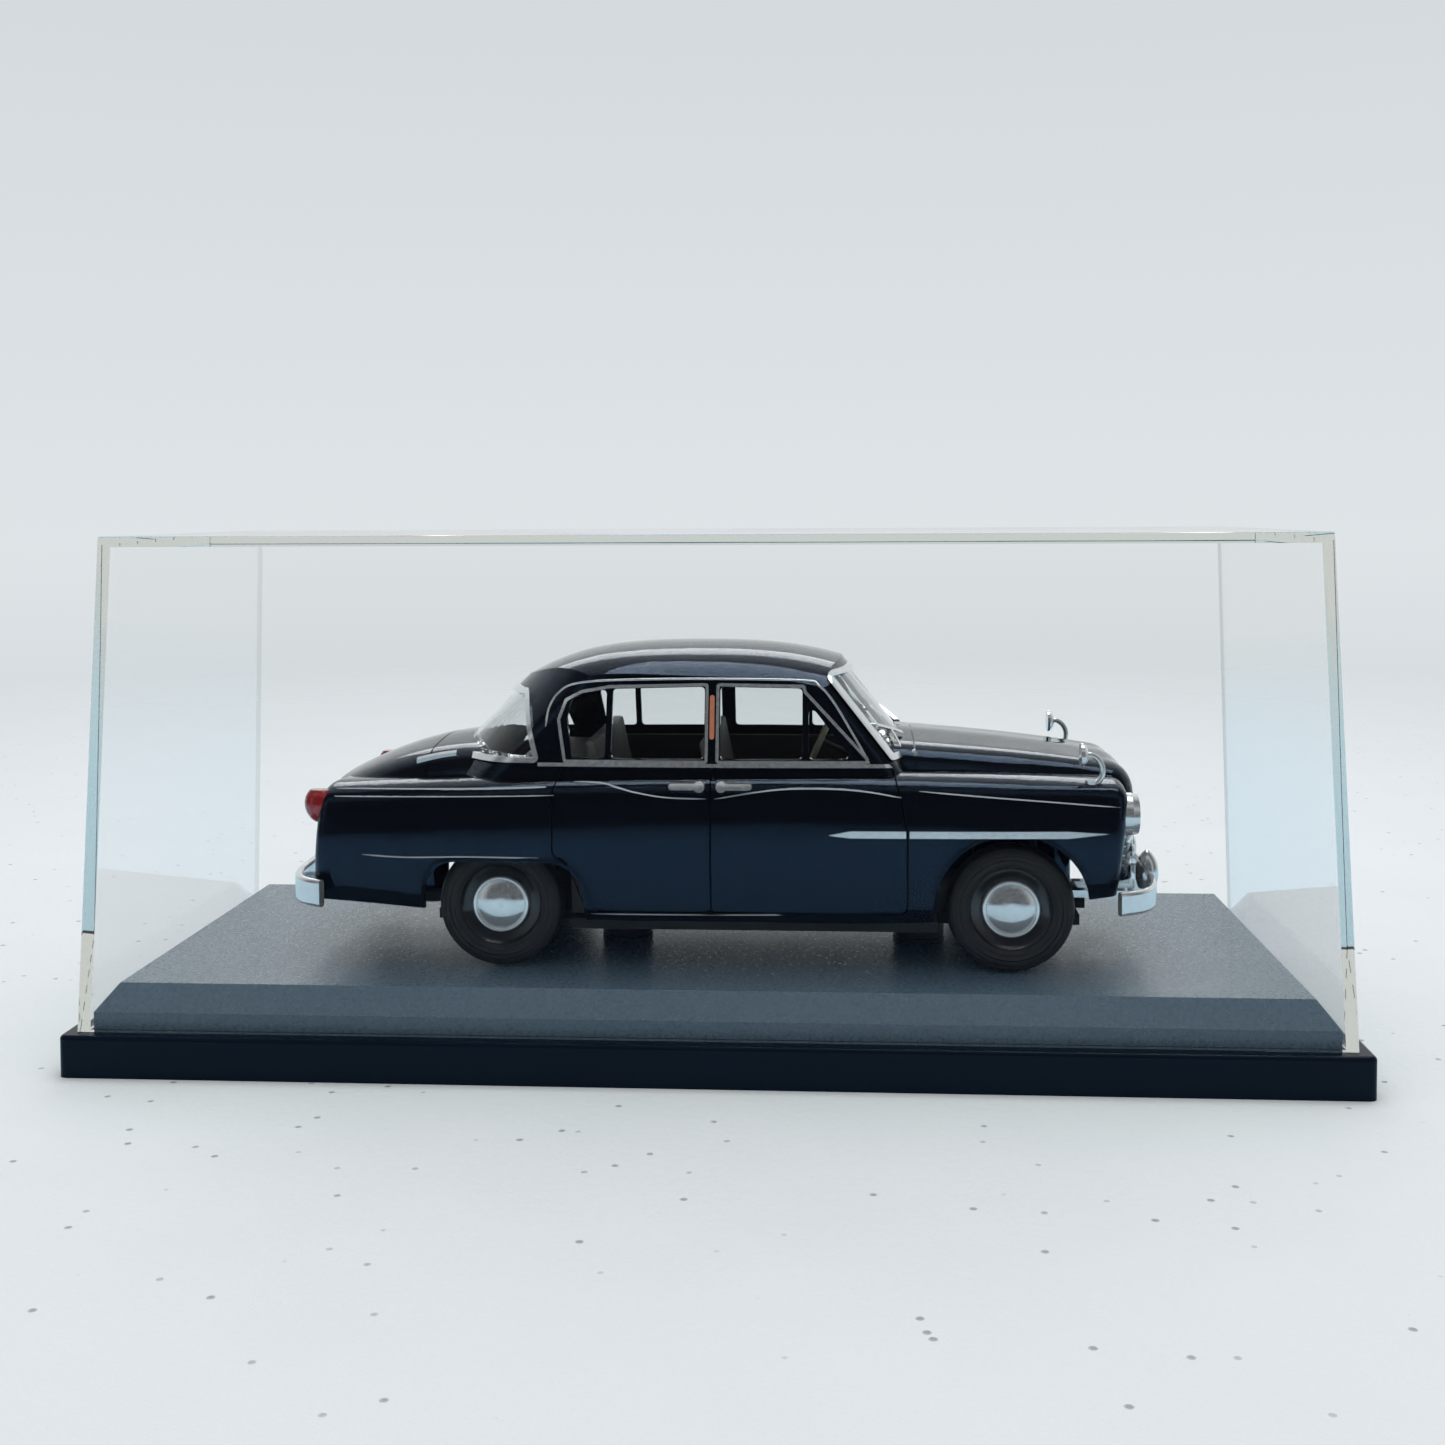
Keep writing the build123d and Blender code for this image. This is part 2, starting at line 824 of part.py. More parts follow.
def car_body():
    """One cast shell: wings, bonnet, boot and cabin with every opening cut."""
    outside = lower_form + bonnet_form + boot_form
    inside = lower_body(wall, end_wall, 1.0)
    inside += bonnet(wall, end_wall + 0.6, 5.0)
    inside += boot(wall, end_wall, 5.0)
    shell = outside - inside - cabin_hollow
    lower_core = lower_body(groove_depth)
    for line in door_lines():
        shell -= line - lower_core
    shell -= seam(cowl_x - bonnet_seam_back, 2 * bonnet_half_width_rear) - bonnet(groove_depth)
    shell -= seam(boot_front_x - boot_seam_back, 2 * boot_half_width_front) - boot(groove_depth)
    house = cabin_form - cabin_hollow
    house -= across_cutter(screen_outline())
    house -= across_cutter(rear_outline())
    for pane in side_panes():
        house -= pane
    shell += house
    for x in (boss_rear_x, boss_front_x):
        boss = Pos(x, 0, chassis_top) * extrude(Circle(body_boss_diameter / 2), belt_z - chassis_top - 1.0)
        shell += boss - Pos(x, 0, chassis_top) * extrude(Circle(body_screw_diameter / 2), body_screw_bite)
    for cutter in arch_cutters():
        shell -= cutter
    return shell - grille_slot()


write(car_body(), "car_body")

# ---------------------------------------------------------------- glazing and bright trim


def pane(cutter):
    """Piece of glazing that fills an opening's cutter inside the cabin wall."""
    return (cutter & cabin(glass_inset, 1.0)) - cabin(glass_inset + glass_thickness, 3.0)


def proud_of_cabin(band):
    """Trim that follows the cabin's surface and stands proud of it."""
    return (band & cabin(-trim_height, 0.0)) - cabin_form


def proud_of_side(band, height):
    """Trim that follows the body side and stands proud of it."""
    return (band & lower_body(-height)) - lower_form


def on_side(shape, sign):
    """The half of a part on the left (1) or the right (-1) of the car."""
    return shape & Pos(0, sign * FAR / 2, 0) * Box(4 * FAR, FAR, 4 * FAR)


def solids_of(*shapes):
    """All the solids of several shapes as one group."""
    return Compound(children=[solid for shape in shapes for solid in shape.solids()])


write(pane(across_cutter(screen_outline(), -glass_gap)) - bonnet_form - lower_form, "windscreen_glass")
write(pane(across_cutter(rear_outline(), -glass_gap)) - boot_form - lower_form, "rear_window_glass")
panes = [pane(cutter) for cutter in side_panes(-glass_gap)]
write(solids_of(*[on_side(piece, 1) for piece in panes]), "side_glass_left")
write(solids_of(*[on_side(piece, -1) for piece in panes]), "side_glass_right")

screen_band = across_cutter(screen_outline(), screen_trim_width) - across_cutter(screen_outline())
write(proud_of_cabin(screen_band) - bonnet_form - lower_form, "windscreen_surround")
rear_band = across_cutter(rear_outline(), screen_trim_width) - across_cutter(rear_outline())
write(proud_of_cabin(rear_band) - boot_form - lower_form, "rear_window_surround")


def door_frames():
    """Bright frames round each door's glass with the belt moulding below them."""
    low = deck_top + pane_bottom_height
    high = deck_top + window_top_height + frame_width
    foot = low - frame_width
    split = pillar_width / 2
    vent_top_x = vent_foot_x - (high - low) * screen_lean + 2 * frame_width
    rear = [
        (window_rear_x - 0.2, foot),
        (window_rear_x - frame_width - 0.7, low + 4.4),
        (window_rear_x - 0.3, high - 1.9),
        (window_rear_x + 1.6, high - 0.9),
        (quarter_bar_x, high - 0.3),
        (door_split_x - split, high),
        (door_split_x - split, foot),
    ]
    front = [
        (door_split_x + split, foot),
        (door_split_x + split, high),
        (vent_bar_x, high - 0.2),
        (vent_top_x + 0.6, high - 0.9),
        (vent_foot_x + 2.4, foot),
    ]
    belt = [
        (rear_pillar_x + 0.6, foot - belt_trim_height),
        (rear_pillar_x + 0.6, foot),
        (screen_pillar_x - 0.6, foot),
        (screen_pillar_x - 0.2, foot - belt_trim_height),
    ]
    bands = across_cutter(belt)
    for outline in (rear, front):
        face = fillet(make_face(Polyline(*outline, close=True)).vertices(), door_frame_corner)
        bands += extrude(across * (face - offset(face, -trim_width)), amount=2 * FAR)
    return bands


frames = proud_of_cabin(door_frames())
write(on_side(frames, 1), "window_frames_left")
write(on_side(frames, -1), "window_frames_right")


def spear_bands():
    """Side mouldings that taper to points, broken at the door's front edge."""
    z = deck_top + spear_centre_height
    half = spear_width / 2
    gap = groove_width
    rear = [
        (spear_rear_x, z - spear_tip_offset),
        (spear_rear_x + spear_rear_point, z + half),
        (door_front_x - gap, z + half),
        (door_front_x - gap, z - half),
        (spear_rear_x + spear_rear_point, z - half),
    ]
    front = [
        (door_front_x + gap, z - half),
        (door_front_x + gap, z + half),
        (spear_front_x - spear_front_point, z + half),
        (spear_front_x, z + spear_tip_offset),
        (spear_front_x - spear_front_point, z - half),
    ]
    return [across_cutter(rear), across_cutter(front)]


write(solids_of(*[proud_of_side(band, trim_height) for band in spear_bands()]), "side_spears")


def handle_band(side):
    """Door handle seen from the side: a lever with a round lock at its end by the shut line."""
    reach = handle_gap + handle_length / 2
    lever = SlotOverall(handle_length, handle_height)
    lock = Pos(-side * (handle_length / 2 - handle_base_radius), 0) * Circle(handle_base_radius)
    place = Pos(door_split_x + side * reach, 0, handle_z)
    return place * extrude(across * (lever + lock), amount=2 * FAR)


handles = [handle_band(side) for side in (1, -1)]
write(solids_of(*[proud_of_side(band, handle_rise) for band in handles]), "door_handles")


# ---------------------------------------------------------------- wheels and axles


def tyre():
    """Rubber tyre about the Y axis: crowned tread, bulged and ribbed sidewalls."""
    half = tyre_width / 2
    low = tyre_radius - tyre_shoulder
    edge = half - tyre_shoulder
    bead = half - bead_inset
    bulge = ((tyre_radius + rim_radius) / 2 + 0.2, half + tyre_bulge)
    tread = ThreePointArc((low, -edge), (tyre_radius, 0), (low, edge))
    outer = ThreePointArc((low, edge), bulge, (rim_radius, bead))
    inner = ThreePointArc((low, -edge), (bulge[0], -bulge[1]), (rim_radius, -bead))
    seat = Line((rim_radius, bead), (rim_radius, -bead))
    ring = revolve(make_face([tread, outer, seat, inner]), Axis.Y)
    for step in range(sidewall_ribs):
        r = rim_radius + sidewall_start + step * sidewall_pitch
        for y in (bulge[1], -bulge[1]):
            ring -= revolve(Pos(r, y) * Rectangle(sidewall_groove_width, sidewall_groove_depth), Axis.Y)
    return ring


def wheel_disc():
    """Pressed steel wheel: rim flange, well, and a dished centre with a bore for the axle."""
    half = tyre_width / 2
    bore = axle_diameter / 2
    return turned(
        [
            (bore, -0.4),
            (bore, hub_face),
            (hubcap_radius, hub_face),
            (hubcap_radius + 0.35, half - 0.75),
            (rim_radius - 0.4, half - 0.45),
            (rim_radius - 0.15, half - 0.2),
            (rim_radius, half - bead_inset),
            (rim_radius, bead_inset - half),
            (rim_radius - 0.5, bead_inset - half),
            (rim_radius - 0.7, 0.2),
            (hubcap_radius - 0.6, -0.1),
            (bore + 0.9, -0.4),
        ]
    )


def hubcap():
    """Domed cap with a raised rolled rim, seated on the wheel's centre."""
    lip = hubcap_radius
    rim = ThreePointArc((lip - 0.5, hub_face + 0.3), (lip - 0.22, hub_face + 0.52), (lip, hub_face + 0.2))
    shoulder = (lip * 0.5, hub_face + 0.83 * hubcap_rise)
    dome = ThreePointArc((0, hub_face + hubcap_rise), shoulder, (lip - 0.5, hub_face + 0.3))
    foot = Polyline((lip, hub_face + 0.2), (lip, hub_face), (0, hub_face), (0, hub_face + hubcap_rise))
    return revolve(make_face([dome, rim, foot]), Axis.Y)


def at_wheel(shape, axle_x, side):
    """A wheel part, made about the Y axis facing +Y, at its hub on one side of the car."""
    if side == "right":
        shape = mirror(shape, about=Plane.XZ)
    sign = 1 if side == "left" else -1
    return Pos(axle_x, sign * (tyre_outer_y - tyre_width / 2), axle_z) * shape


def axle(axle_x):
    """Rod between two wheels, its ends flush with their hub faces."""
    reach = tyre_outer_y - tyre_width / 2 + hub_face
    return Pos(axle_x, 0, axle_z) * Rot(90, 0, 0) * Cylinder(axle_diameter / 2, 2 * reach)


for end, axle_x in (("front", front_axle_x), ("rear", rear_axle_x)):
    write(axle(axle_x), f"{end}_axle")
    for side in ("left", "right"):
        write(at_wheel(tyre(), axle_x, side), f"{end}_{side}_tyre")
        write(at_wheel(wheel_disc(), axle_x, side), f"{end}_{side}_wheel")
        write(at_wheel(hubcap(), axle_x, side), f"{end}_{side}_hubcap")

# ---------------------------------------------------------------- chassis, posts and screws


def chassis():
    """Pan under the body with wheel bays, axle blocks, screw bosses and an exhaust run."""
    length = nose_x - tail_x - 2 * chassis_end_gap
    pan = Box(length, 2 * chassis_half_width, chassis_thickness)
    body = Pos(body_mid_x, 0, chassis_top - chassis_thickness / 2) * pan
    block_height = axle_z + block_rise - chassis_top
    for axle_x, outward in ((rear_axle_x, -1), (front_axle_x, 1)):
        bay_x = axle_x - outward * (tyre_radius + bay_gap) + outward * FAR / 2
        for sign in (1, -1):
            bay = Box(FAR, FAR, 4 * chassis_thickness)
            body -= Pos(bay_x, sign * (bay_inner_y + FAR / 2), chassis_top) * bay
            beyond_x = bay_x + outward * 2 * (tyre_radius + bay_gap)
            body -= Pos(beyond_x, sign * (tongue_half_width + FAR / 2), chassis_top) * bay
            block = Box(block_length, block_width, block_height)
            block_y = sign * (bay_inner_y - block_width / 2)
            body += Pos(axle_x, block_y, chassis_top + block_height / 2) * block
        bore = Rot(90, 0, 0) * Cylinder(axle_diameter / 2 + axle_clearance, 4 * bay_inner_y)
        body -= Pos(axle_x, 0, axle_z) * bore
    for x in (rear_post_x, front_post_x):
        body += Pos(x, 0, chassis_top) * extrude(Circle(screw_diameter / 2 + boss_wall), screw_bite)
        body -= Pos(x, 0, deck_top) * extrude(Circle(screw_diameter / 2), FAR)
    for x in (boss_rear_x, boss_front_x):
        body -= Pos(x, 0, deck_top) * extrude(Circle(body_screw_diameter / 2), FAR)
    pipe_z = chassis_top - chassis_thickness
    run = Rot(0, 90, 0) * Cylinder(exhaust_diameter / 2, exhaust_length)
    body += Pos(tail_x + exhaust_length / 2 + exhaust_start, exhaust_y, pipe_z) * run
    silencer = Rot(0, 90, 0) * Cylinder(exhaust_diameter, silencer_length)
    return body + Pos(silencer_x, exhaust_y, pipe_z) * silencer


def mounting_post():
    """Round spacer between deck and chassis, with a narrow groove near each end."""
    post = Cylinder(post_diameter / 2, chassis_height)
    post -= Cylinder(screw_diameter / 2 + screw_clearance, 2 * chassis_height)
    ring = Cylinder(post_diameter, post_groove_width)
    ring -= Cylinder(post_diameter / 2 - post_groove_depth, post_groove_width)
    for sign in (1, -1):
        post -= Pos(0, 0, sign * (chassis_height / 2 - post_collar)) * ring
    return Pos(0, 0, deck_top + chassis_height / 2) * post


def cross_screw(head_d, head_h, shaft_d, length):
    """Pan-head screw pointing up, its head's face at z = 0 with a cross recess."""
    head = Pos(0, 0, head_h / 2) * Cylinder(head_d / 2, head_h)
    head = chamfer(head.edges().sort_by(Axis.Z)[0], head_h * 0.3)
    screw = head + Pos(0, 0, head_h + length / 2) * Cylinder(shaft_d / 2, length)
    for turn in (0, 90):
        screw -= Rot(0, 0, turn) * Box(head_d * 0.6, head_d * 0.14, head_h)
    return screw


write(chassis(), "chassis_plate")
for end, x in (("front", front_post_x), ("rear", rear_post_x)):
    write(Pos(x, 0, 0) * mounting_post(), f"{end}_mounting_post")
grip = chassis_top + screw_bite - screw_recess - screw_head_height
post_screw = cross_screw(screw_head_diameter, screw_head_height, screw_diameter, grip)
post_screws = [Pos(x, 0, screw_recess) * post_screw for x in (rear_post_x, front_post_x)]
write(solids_of(*post_screws), "mounting_screws")
body_grip = chassis_thickness + body_screw_bite
body_screw = cross_screw(2 * body_screw_diameter, body_screw_head, body_screw_diameter, body_grip)
body_screw_z = chassis_top - chassis_thickness - body_screw_head
body_screws = [Pos(x, 0, body_screw_z) * body_screw for x in (boss_rear_x, boss_front_x)]
write(solids_of(*body_screws), "chassis_screws")

# ---------------------------------------------------------------- interior


def boss_clearance():
    """Room for a screw boss, from the chassis up."""
    return extrude(Circle(screw_diameter / 2 + boss_wall + boss_gap), screw_bite + boss_gap)


def interior_tub():
    """Floor, door cards, bulkhead and parcel shelf in one moulding."""
    floor_z = chassis_top + tub_gap
    length = tub_front_x - tub_rear_x
    mid = (tub_front_x + tub_rear_x) / 2
    body = Pos(mid, 0, floor_z + tub_wall / 2) * Box(length, 2 * tub_half_width, tub_wall)
    height = belt_z - tub_card_drop - floor_z
    for sign in (1, -1):
        card = Box(length, tub_wall, height)
        body += Pos(mid, sign * (tub_half_width - tub_wall / 2), floor_z + height / 2) * card
    for x in (tub_rear_x + tub_wall / 2, tub_front_x - tub_wall / 2):
        body += Pos(x, 0, floor_z + height / 2) * Box(tub_wall, 2 * tub_half_width, height)
    shelf = Box(shelf_length, 2 * shelf_half_width, tub_wall)
    body += Pos(tub_rear_x - shelf_length / 2 + tub_wall, 0, floor_z + height - tub_wall / 2) * shelf
    for x in (rear_post_x, front_post_x):
        body -= Pos(x, 0, chassis_top) * boss_clearance()
    return body


def bench(x, back_top):
    """Bench seat: a rounded cushion standing on the floor and a raked back."""
    z = chassis_top + tub_gap + tub_wall
    cushion = Pos(x + bench_depth / 2, 0, z + bench_height / 2) * Box(bench_depth, bench_width, bench_height)
    rake = bench_rake * (back_top - z)
    outline = [
        (x + bench_back, z + bench_foot),
        (x + bench_foot, z + bench_foot),
        (x + bench_foot - rake, back_top),
        (x + bench_back - rake - bench_taper, back_top),
    ]
    back = side_plate(outline, bench_width / 2 - bench_foot, bench_foot - bench_width / 2)
    seat = fillet(cushion.edges(), bench_edge) + fillet(back.edges(), bench_back_edge)
    return seat - Pos(rear_post_x, 0, chassis_top) * boss_clearance()


write(interior_tub(), "interior_tub")
write(bench(front_seat_x, deck_top + seat_back_height), "front_seat")
write(bench(rear_seat_x, deck_top + seat_back_height), "rear_seat")


def dashboard():
    """Dash panel across the car with rounded long edges and a round dial pod."""
    width = 2 * (tub_half_width - tub_wall - dash_gap)
    x = tub_front_x - tub_wall - dash_depth / 2
    z = belt_z - dash_height / 2
    panel = Pos(x, 0, z) * Box(dash_depth, width, dash_height)
    panel = fillet(panel.edges().filter_by(Axis.Y), dash_edge)
    pod = Pos(x - dash_depth / 2, steering_y, z) * Rot(0, 90, 0) * Cylinder(pod_radius, pod_depth)
    return panel + pod


def steering_wheel():
    """Thin rim, two spokes and a hub, in the wheel's own plane."""
    wheel = Torus(steering_radius, steering_rim) + Cylinder(steering_hub_radius, steering_hub_height)
    return wheel + Box(2 * steering_radius, spoke_width, spoke_height)


write(dashboard(), "dashboard")
steering_place = Pos(steering_x, steering_y, belt_z - steering_drop) * Rot(0, -steering_rake, 0)
write(steering_place * steering_wheel(), "steering_wheel")
column = Pos(0, 0, -(steering_hub_height + column_length) / 2) * Cylinder(column_radius, column_length)
write(steering_place * column, "steering_column")

# ---------------------------------------------------------------- bumpers, grille and lamps


def bumper(ends_x, centre_x, bow, height, z, iron_from):
    """Curved blade wrapped round the body's end, with two irons back to the chassis."""
    sign = 1 if centre_x > 0 else -1
    tip_y = half_width - bumper_inset
    path = Spline(
        (ends_x, -tip_y, z),
        (centre_x - sign * bow, -tip_y + bumper_corner, z),
        (centre_x - sign * bow * 0.18, -tip_y * 0.42, z),
        (centre_x, 0, z),
        (centre_x - sign * bow * 0.18, tip_y * 0.42, z),
        (centre_x - sign * bow, tip_y - bumper_corner, z),
        (ends_x, tip_y, z),
    )
    blade = RectangleRounded(height, bumper_thickness, bumper_thickness * 0.45)
    bar = Plane(origin=path @ 0, x_dir=(0, 0, 1), z_dir=path % 0) * blade
    body = sweep(bar, path)
    back_x = centre_x - sign * bow * 0.18
    for side in (1, -1):
        arm = Box(abs(back_x - iron_from), iron_width, iron_height)
        body += Pos((back_x + iron_from) / 2, side * iron_y, chassis_top + iron_height / 2) * arm
        riser = Box(iron_height, iron_width, z - chassis_top)
        body += Pos(back_x - sign * iron_height / 2, side * iron_y, (z + chassis_top) / 2) * riser
    return body


def overrider():
    """Upright bullet that stands against the bumper's face."""
    tall = overrider_height
    wide = overrider_width / 2
    outline = Spline((0, tall), (wide * 0.8, tall * 0.72), (wide, tall * 0.35), (wide * 0.75, 0))
    face = make_face([outline, Polyline((wide * 0.75, 0), (0, 0), (0, tall))])
    return revolve(Plane.XZ * face, Axis.Z)


front_bumper_z = deck_top + front_bumper_height
rear_bumper_z = deck_top + rear_bumper_height
front_blade = bumper(
    nose_x - front_bumper_tip,
    nose_x + front_bumper_ahead,
    front_bumper_bow,
    front_blade_height,
    front_bumper_z,
    nose_x - iron_reach,
)
rear_blade = bumper(
    tail_x + rear_bumper_tip,
    tail_x - rear_bumper_behind,
    rear_bumper_bow,
    rear_blade_height,
    rear_bumper_z,
    tail_x + iron_reach,
)
write(front_blade, "front_bumper")
write(rear_blade, "rear_bumper")
overrider_x = nose_x + overrider_ahead
overrider_z = front_bumper_z - overrider_drop
overriders = [
    Pos(overrider_x, side * overrider_y, overrider_z) * overrider() - front_blade for side in (1, -1)
]
write(solids_of(*overriders), "front_overriders")


def grille():
    """Bright surround with horizontal bars bowed to the nose, on a dark back plate."""
    reach = grille_half_width - grille_clearance
    sides_x = grille_back_x + grille_side_ahead
    tall = grille_height - 2 * grille_clearance
    body = None
    for step in even(-1, 1, grille_bars):
        z = grille_z + step * (tall / 2 - bar_height / 2)
        short = reach - (grille_height / 2) * (1 - math.sqrt(1 - (step * 0.9) ** 2))
        arc = ThreePointArc((sides_x, -short, z), (grille_centre_x, 0, z), (sides_x, short, z))
        rod = Plane(origin=arc @ 0, x_dir=(0, 0, 1), z_dir=arc % 0) * Rectangle(bar_height, bar_depth)
        swept = sweep(rod, arc)
        body = swept if body is None else body + swept
    for y in even(-reach * 0.6, reach * 0.6, uprights):
        x_bow = sides_x + (grille_centre_x - sides_x) * (1 - (y / reach) ** 2)
        post = Box(x_bow - grille_back_x - upright_sink, upright_width, tall - 2 * grille_clearance)
        body += Pos((x_bow + grille_back_x - upright_sink) / 2, y, grille_z) * post
    return body - lower_form - bonnet_form + (body & grille_slot(-0.02))


def lamp_rim(radius, length, lip):
    """Bright ring about the X axis, its back at x = 0, rolled in front."""
    outline = Polyline(
        (0, radius - lip),
        (0, radius),
        (length * 0.55, radius),
        (length, radius - lip * 0.45),
        (length, radius - lip),
        close=True,
    )
    return revolve(make_face(outline), Axis.X)


def lamp_lens(radius, start, rise):
    """Domed lens about the X axis, its flat back at the start."""
    dome = scale(Sphere(radius), by=(rise / radius, 1, 1))
    return Pos(start, 0, 0) * (dome & Pos(radius, 0, 0) * Box(2 * radius, 4 * radius, 4 * radius))


def on_both(shape, x, y, z):
    """A part at (x, y, z) and its twin across the car."""
    return solids_of(Pos(x, y, z) * shape, mirror(Pos(x, y, z) * shape, about=Plane.XZ))


headlight_z = deck_top + headlight_height
headlight_x = nose_x - nose_lean * (shoulder_height - headlight_height) / (shoulder_height - sill_height)
lens_radius = headlight_radius - headlight_lip - glass_gap
headlight_back = (headlight_x - headlight_set_back, headlight_y, headlight_z)
rims = on_both(lamp_rim(headlight_radius, headlight_length, headlight_lip), *headlight_back)
lenses = on_both(lamp_lens(lens_radius, headlight_length * 0.45, headlight_dome), *headlight_back)
write(solids_of(rims - lower_form), "headlight_rims")
write(lenses, "headlight_lenses")
write(grille(), "grille")
parking_x = grille_back_x + grille_side_ahead + bar_depth / 2 + parking_ahead
parking = on_both(lamp_lens(parking_radius, 0, parking_dome), parking_x, parking_y, grille_z)
write(parking, "parking_lamps")


def taillights():
    """Teardrop lenses let into the upper corners of the tail: flat on top, leaning outward."""
    z = deck_top + taillight_height
    lens = scale(Sphere(1), by=(taillight_depth, taillight_width / 2, taillight_tall / 2))
    top = taillight_tall / 2 * taillight_crop
    reach = 2 * taillight_tall
    lens = Rot(0, -taillight_lean, 0) * lens & Pos(0, 0, top - taillight_tall) * Box(reach, reach, reach)
    face_x = tail_x + tail_lean * (taillight_height - sill_height) / (shoulder_height - sill_height)
    return solids_of(on_both(lens, face_x, taillight_y, z) - lower_form)


def wing_mirror():
    """Round mirror head on a bent stalk, standing on the left wing."""
    foot_z = shoulder_z(mirror_x) - mirror_sink
    head_x = mirror_x - mirror_back
    stalk = Spline(
        (mirror_x, mirror_y, foot_z),
        (mirror_x + mirror_bend, mirror_y, foot_z + mirror_rise * 0.3),
        (mirror_x + mirror_bend * 0.9, mirror_y, foot_z + mirror_rise * 0.75),
        (head_x, mirror_y, foot_z + mirror_rise),
    )
    wire = Plane(origin=stalk @ 0, z_dir=stalk % 0) * Circle(mirror_stalk / 2)
    foot = Pos(mirror_x, mirror_y, foot_z + mirror_sink) * Cylinder(mirror_foot_radius, mirror_foot_height)
    dome = ThreePointArc((mirror_depth, 0), (mirror_depth * 0.7, mirror_radius * 0.65), (0, mirror_radius))
    rest = Polyline((0, mirror_radius), (-mirror_rim, mirror_radius), (-mirror_rim, 0), (mirror_depth, 0))
    head = Pos(head_x, mirror_y, foot_z + mirror_rise) * revolve(make_face([dome, rest]), Axis.X)
    return sweep(wire, stalk) + foot + head - lower_form


write(taillights(), "taillights")
mirror_left = wing_mirror()
write(mirror_left, "wing_mirror_left")
write(mirror(mirror_left, about=Plane.XZ), "wing_mirror_right")
hinge_box = Box(boot_hinge_length, boot_hinge_width, seam_reach)
hinges = []
for side in (1, -1):
    strap = Pos(boot_front_x - boot_hinge_back, side * boot_hinge_y, belt_z) * hinge_box
    hinges.append((strap & boot(-boot_hinge_rise)) - boot_form - cabin_form)
write(solids_of(*hinges), "boot_hinges")


def wipers():
    """A blade, an arm and a pivot on each half of the windscreen."""
    z = deck_top + wiper_centre_height
    outer = cabin(-wiper_rise) - cabin_form
    foot_z = belt_z + screen_foot_rise - wiper_width
    parts = []
    for side in (1, -1):
        blade = Pos(side * wiper_y, z) * Rot(0, 0, side * wiper_angle)
        blade *= SlotOverall(wiper_length, wiper_width)
        arm = make_face(
            Polyline(
                (side * (wiper_pivot_y - wiper_width), foot_z),
                (side * (wiper_pivot_y + wiper_width), foot_z),
                (side * (wiper_y + wiper_width), z),
                (side * (wiper_y - wiper_width / 2), z),
                close=True,
            )
        )
        sweep_area = extrude(Plane.YZ * (blade + arm), FAR)
        knob = Cylinder(wiper_pivot_radius, 2 * wiper_width)
        lying = sweep_area & outer
        at = Vector(screen_foot_x - wiper_width, side * wiper_pivot_y, foot_z)
        parts.append(lying + Pos(at) * Rot(0, wiper_pivot_tilt, 0) * knob)
    return solids_of(*[part - cabin_form - bonnet_form - lower_form for part in parts])


write(wipers(), "windscreen_wipers")
indicator_face = SlotOverall(indicator_height, indicator_width, rotation=90)
indicator_place = Pos(door_split_x, 0, deck_top + indicator_centre)
indicator_bar = indicator_place * extrude(across * indicator_face, amount=2 * FAR)
write((indicator_bar & cabin(-indicator_rise)) - cabin_form, "pillar_indicators")
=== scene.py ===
"""Looks for the model car display stand: materials, small details, lights and camera."""
import json
import math

import bmesh
import bpy
from mathutils import Matrix, Vector
from mathutils.bvhtree import BVHTree


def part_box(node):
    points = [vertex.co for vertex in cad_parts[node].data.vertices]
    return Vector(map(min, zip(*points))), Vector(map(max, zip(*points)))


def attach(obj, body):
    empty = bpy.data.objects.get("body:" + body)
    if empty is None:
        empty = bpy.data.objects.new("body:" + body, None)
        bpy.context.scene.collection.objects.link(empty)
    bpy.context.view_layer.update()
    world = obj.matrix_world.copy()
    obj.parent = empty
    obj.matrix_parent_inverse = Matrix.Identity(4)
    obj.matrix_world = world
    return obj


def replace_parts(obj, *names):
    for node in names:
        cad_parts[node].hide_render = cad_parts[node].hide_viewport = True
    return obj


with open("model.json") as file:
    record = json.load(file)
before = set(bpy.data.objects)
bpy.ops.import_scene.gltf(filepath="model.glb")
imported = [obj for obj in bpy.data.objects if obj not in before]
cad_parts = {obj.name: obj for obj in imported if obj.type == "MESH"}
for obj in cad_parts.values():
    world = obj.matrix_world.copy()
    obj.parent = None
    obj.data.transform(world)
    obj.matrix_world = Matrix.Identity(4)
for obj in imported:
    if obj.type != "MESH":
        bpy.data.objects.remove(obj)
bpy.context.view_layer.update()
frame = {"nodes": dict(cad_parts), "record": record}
NODES = frame["nodes"]
MM = 0.001

# Sockets of a Mix node that blends colours.
MIX_A, MIX_B, MIX_RESULT = 6, 7, 2
# Metres after which a band texture of scale 1 repeats.
WAVE_PERIOD = 0.314
# What clear material leaves of the light that lamps and walls send through it.
CLEAR_SHADOW = (0.94, 0.96, 0.95, 1.0)


def mix_colours(tree, fac, a, b):
    """Colour a where fac is 0, b where it is 1; either may be a socket."""
    node = tree.nodes.new("ShaderNodeMix")
    node.data_type = "RGBA"
    tree.links.new(fac, node.inputs["Factor"])
    for index, value in ((MIX_A, a), (MIX_B, b)):
        if isinstance(value, bpy.types.NodeSocket):
            tree.links.new(value, node.inputs[index])
        else:
            node.inputs[index].default_value = (*value, 1.0)
    return node.outputs[MIX_RESULT]


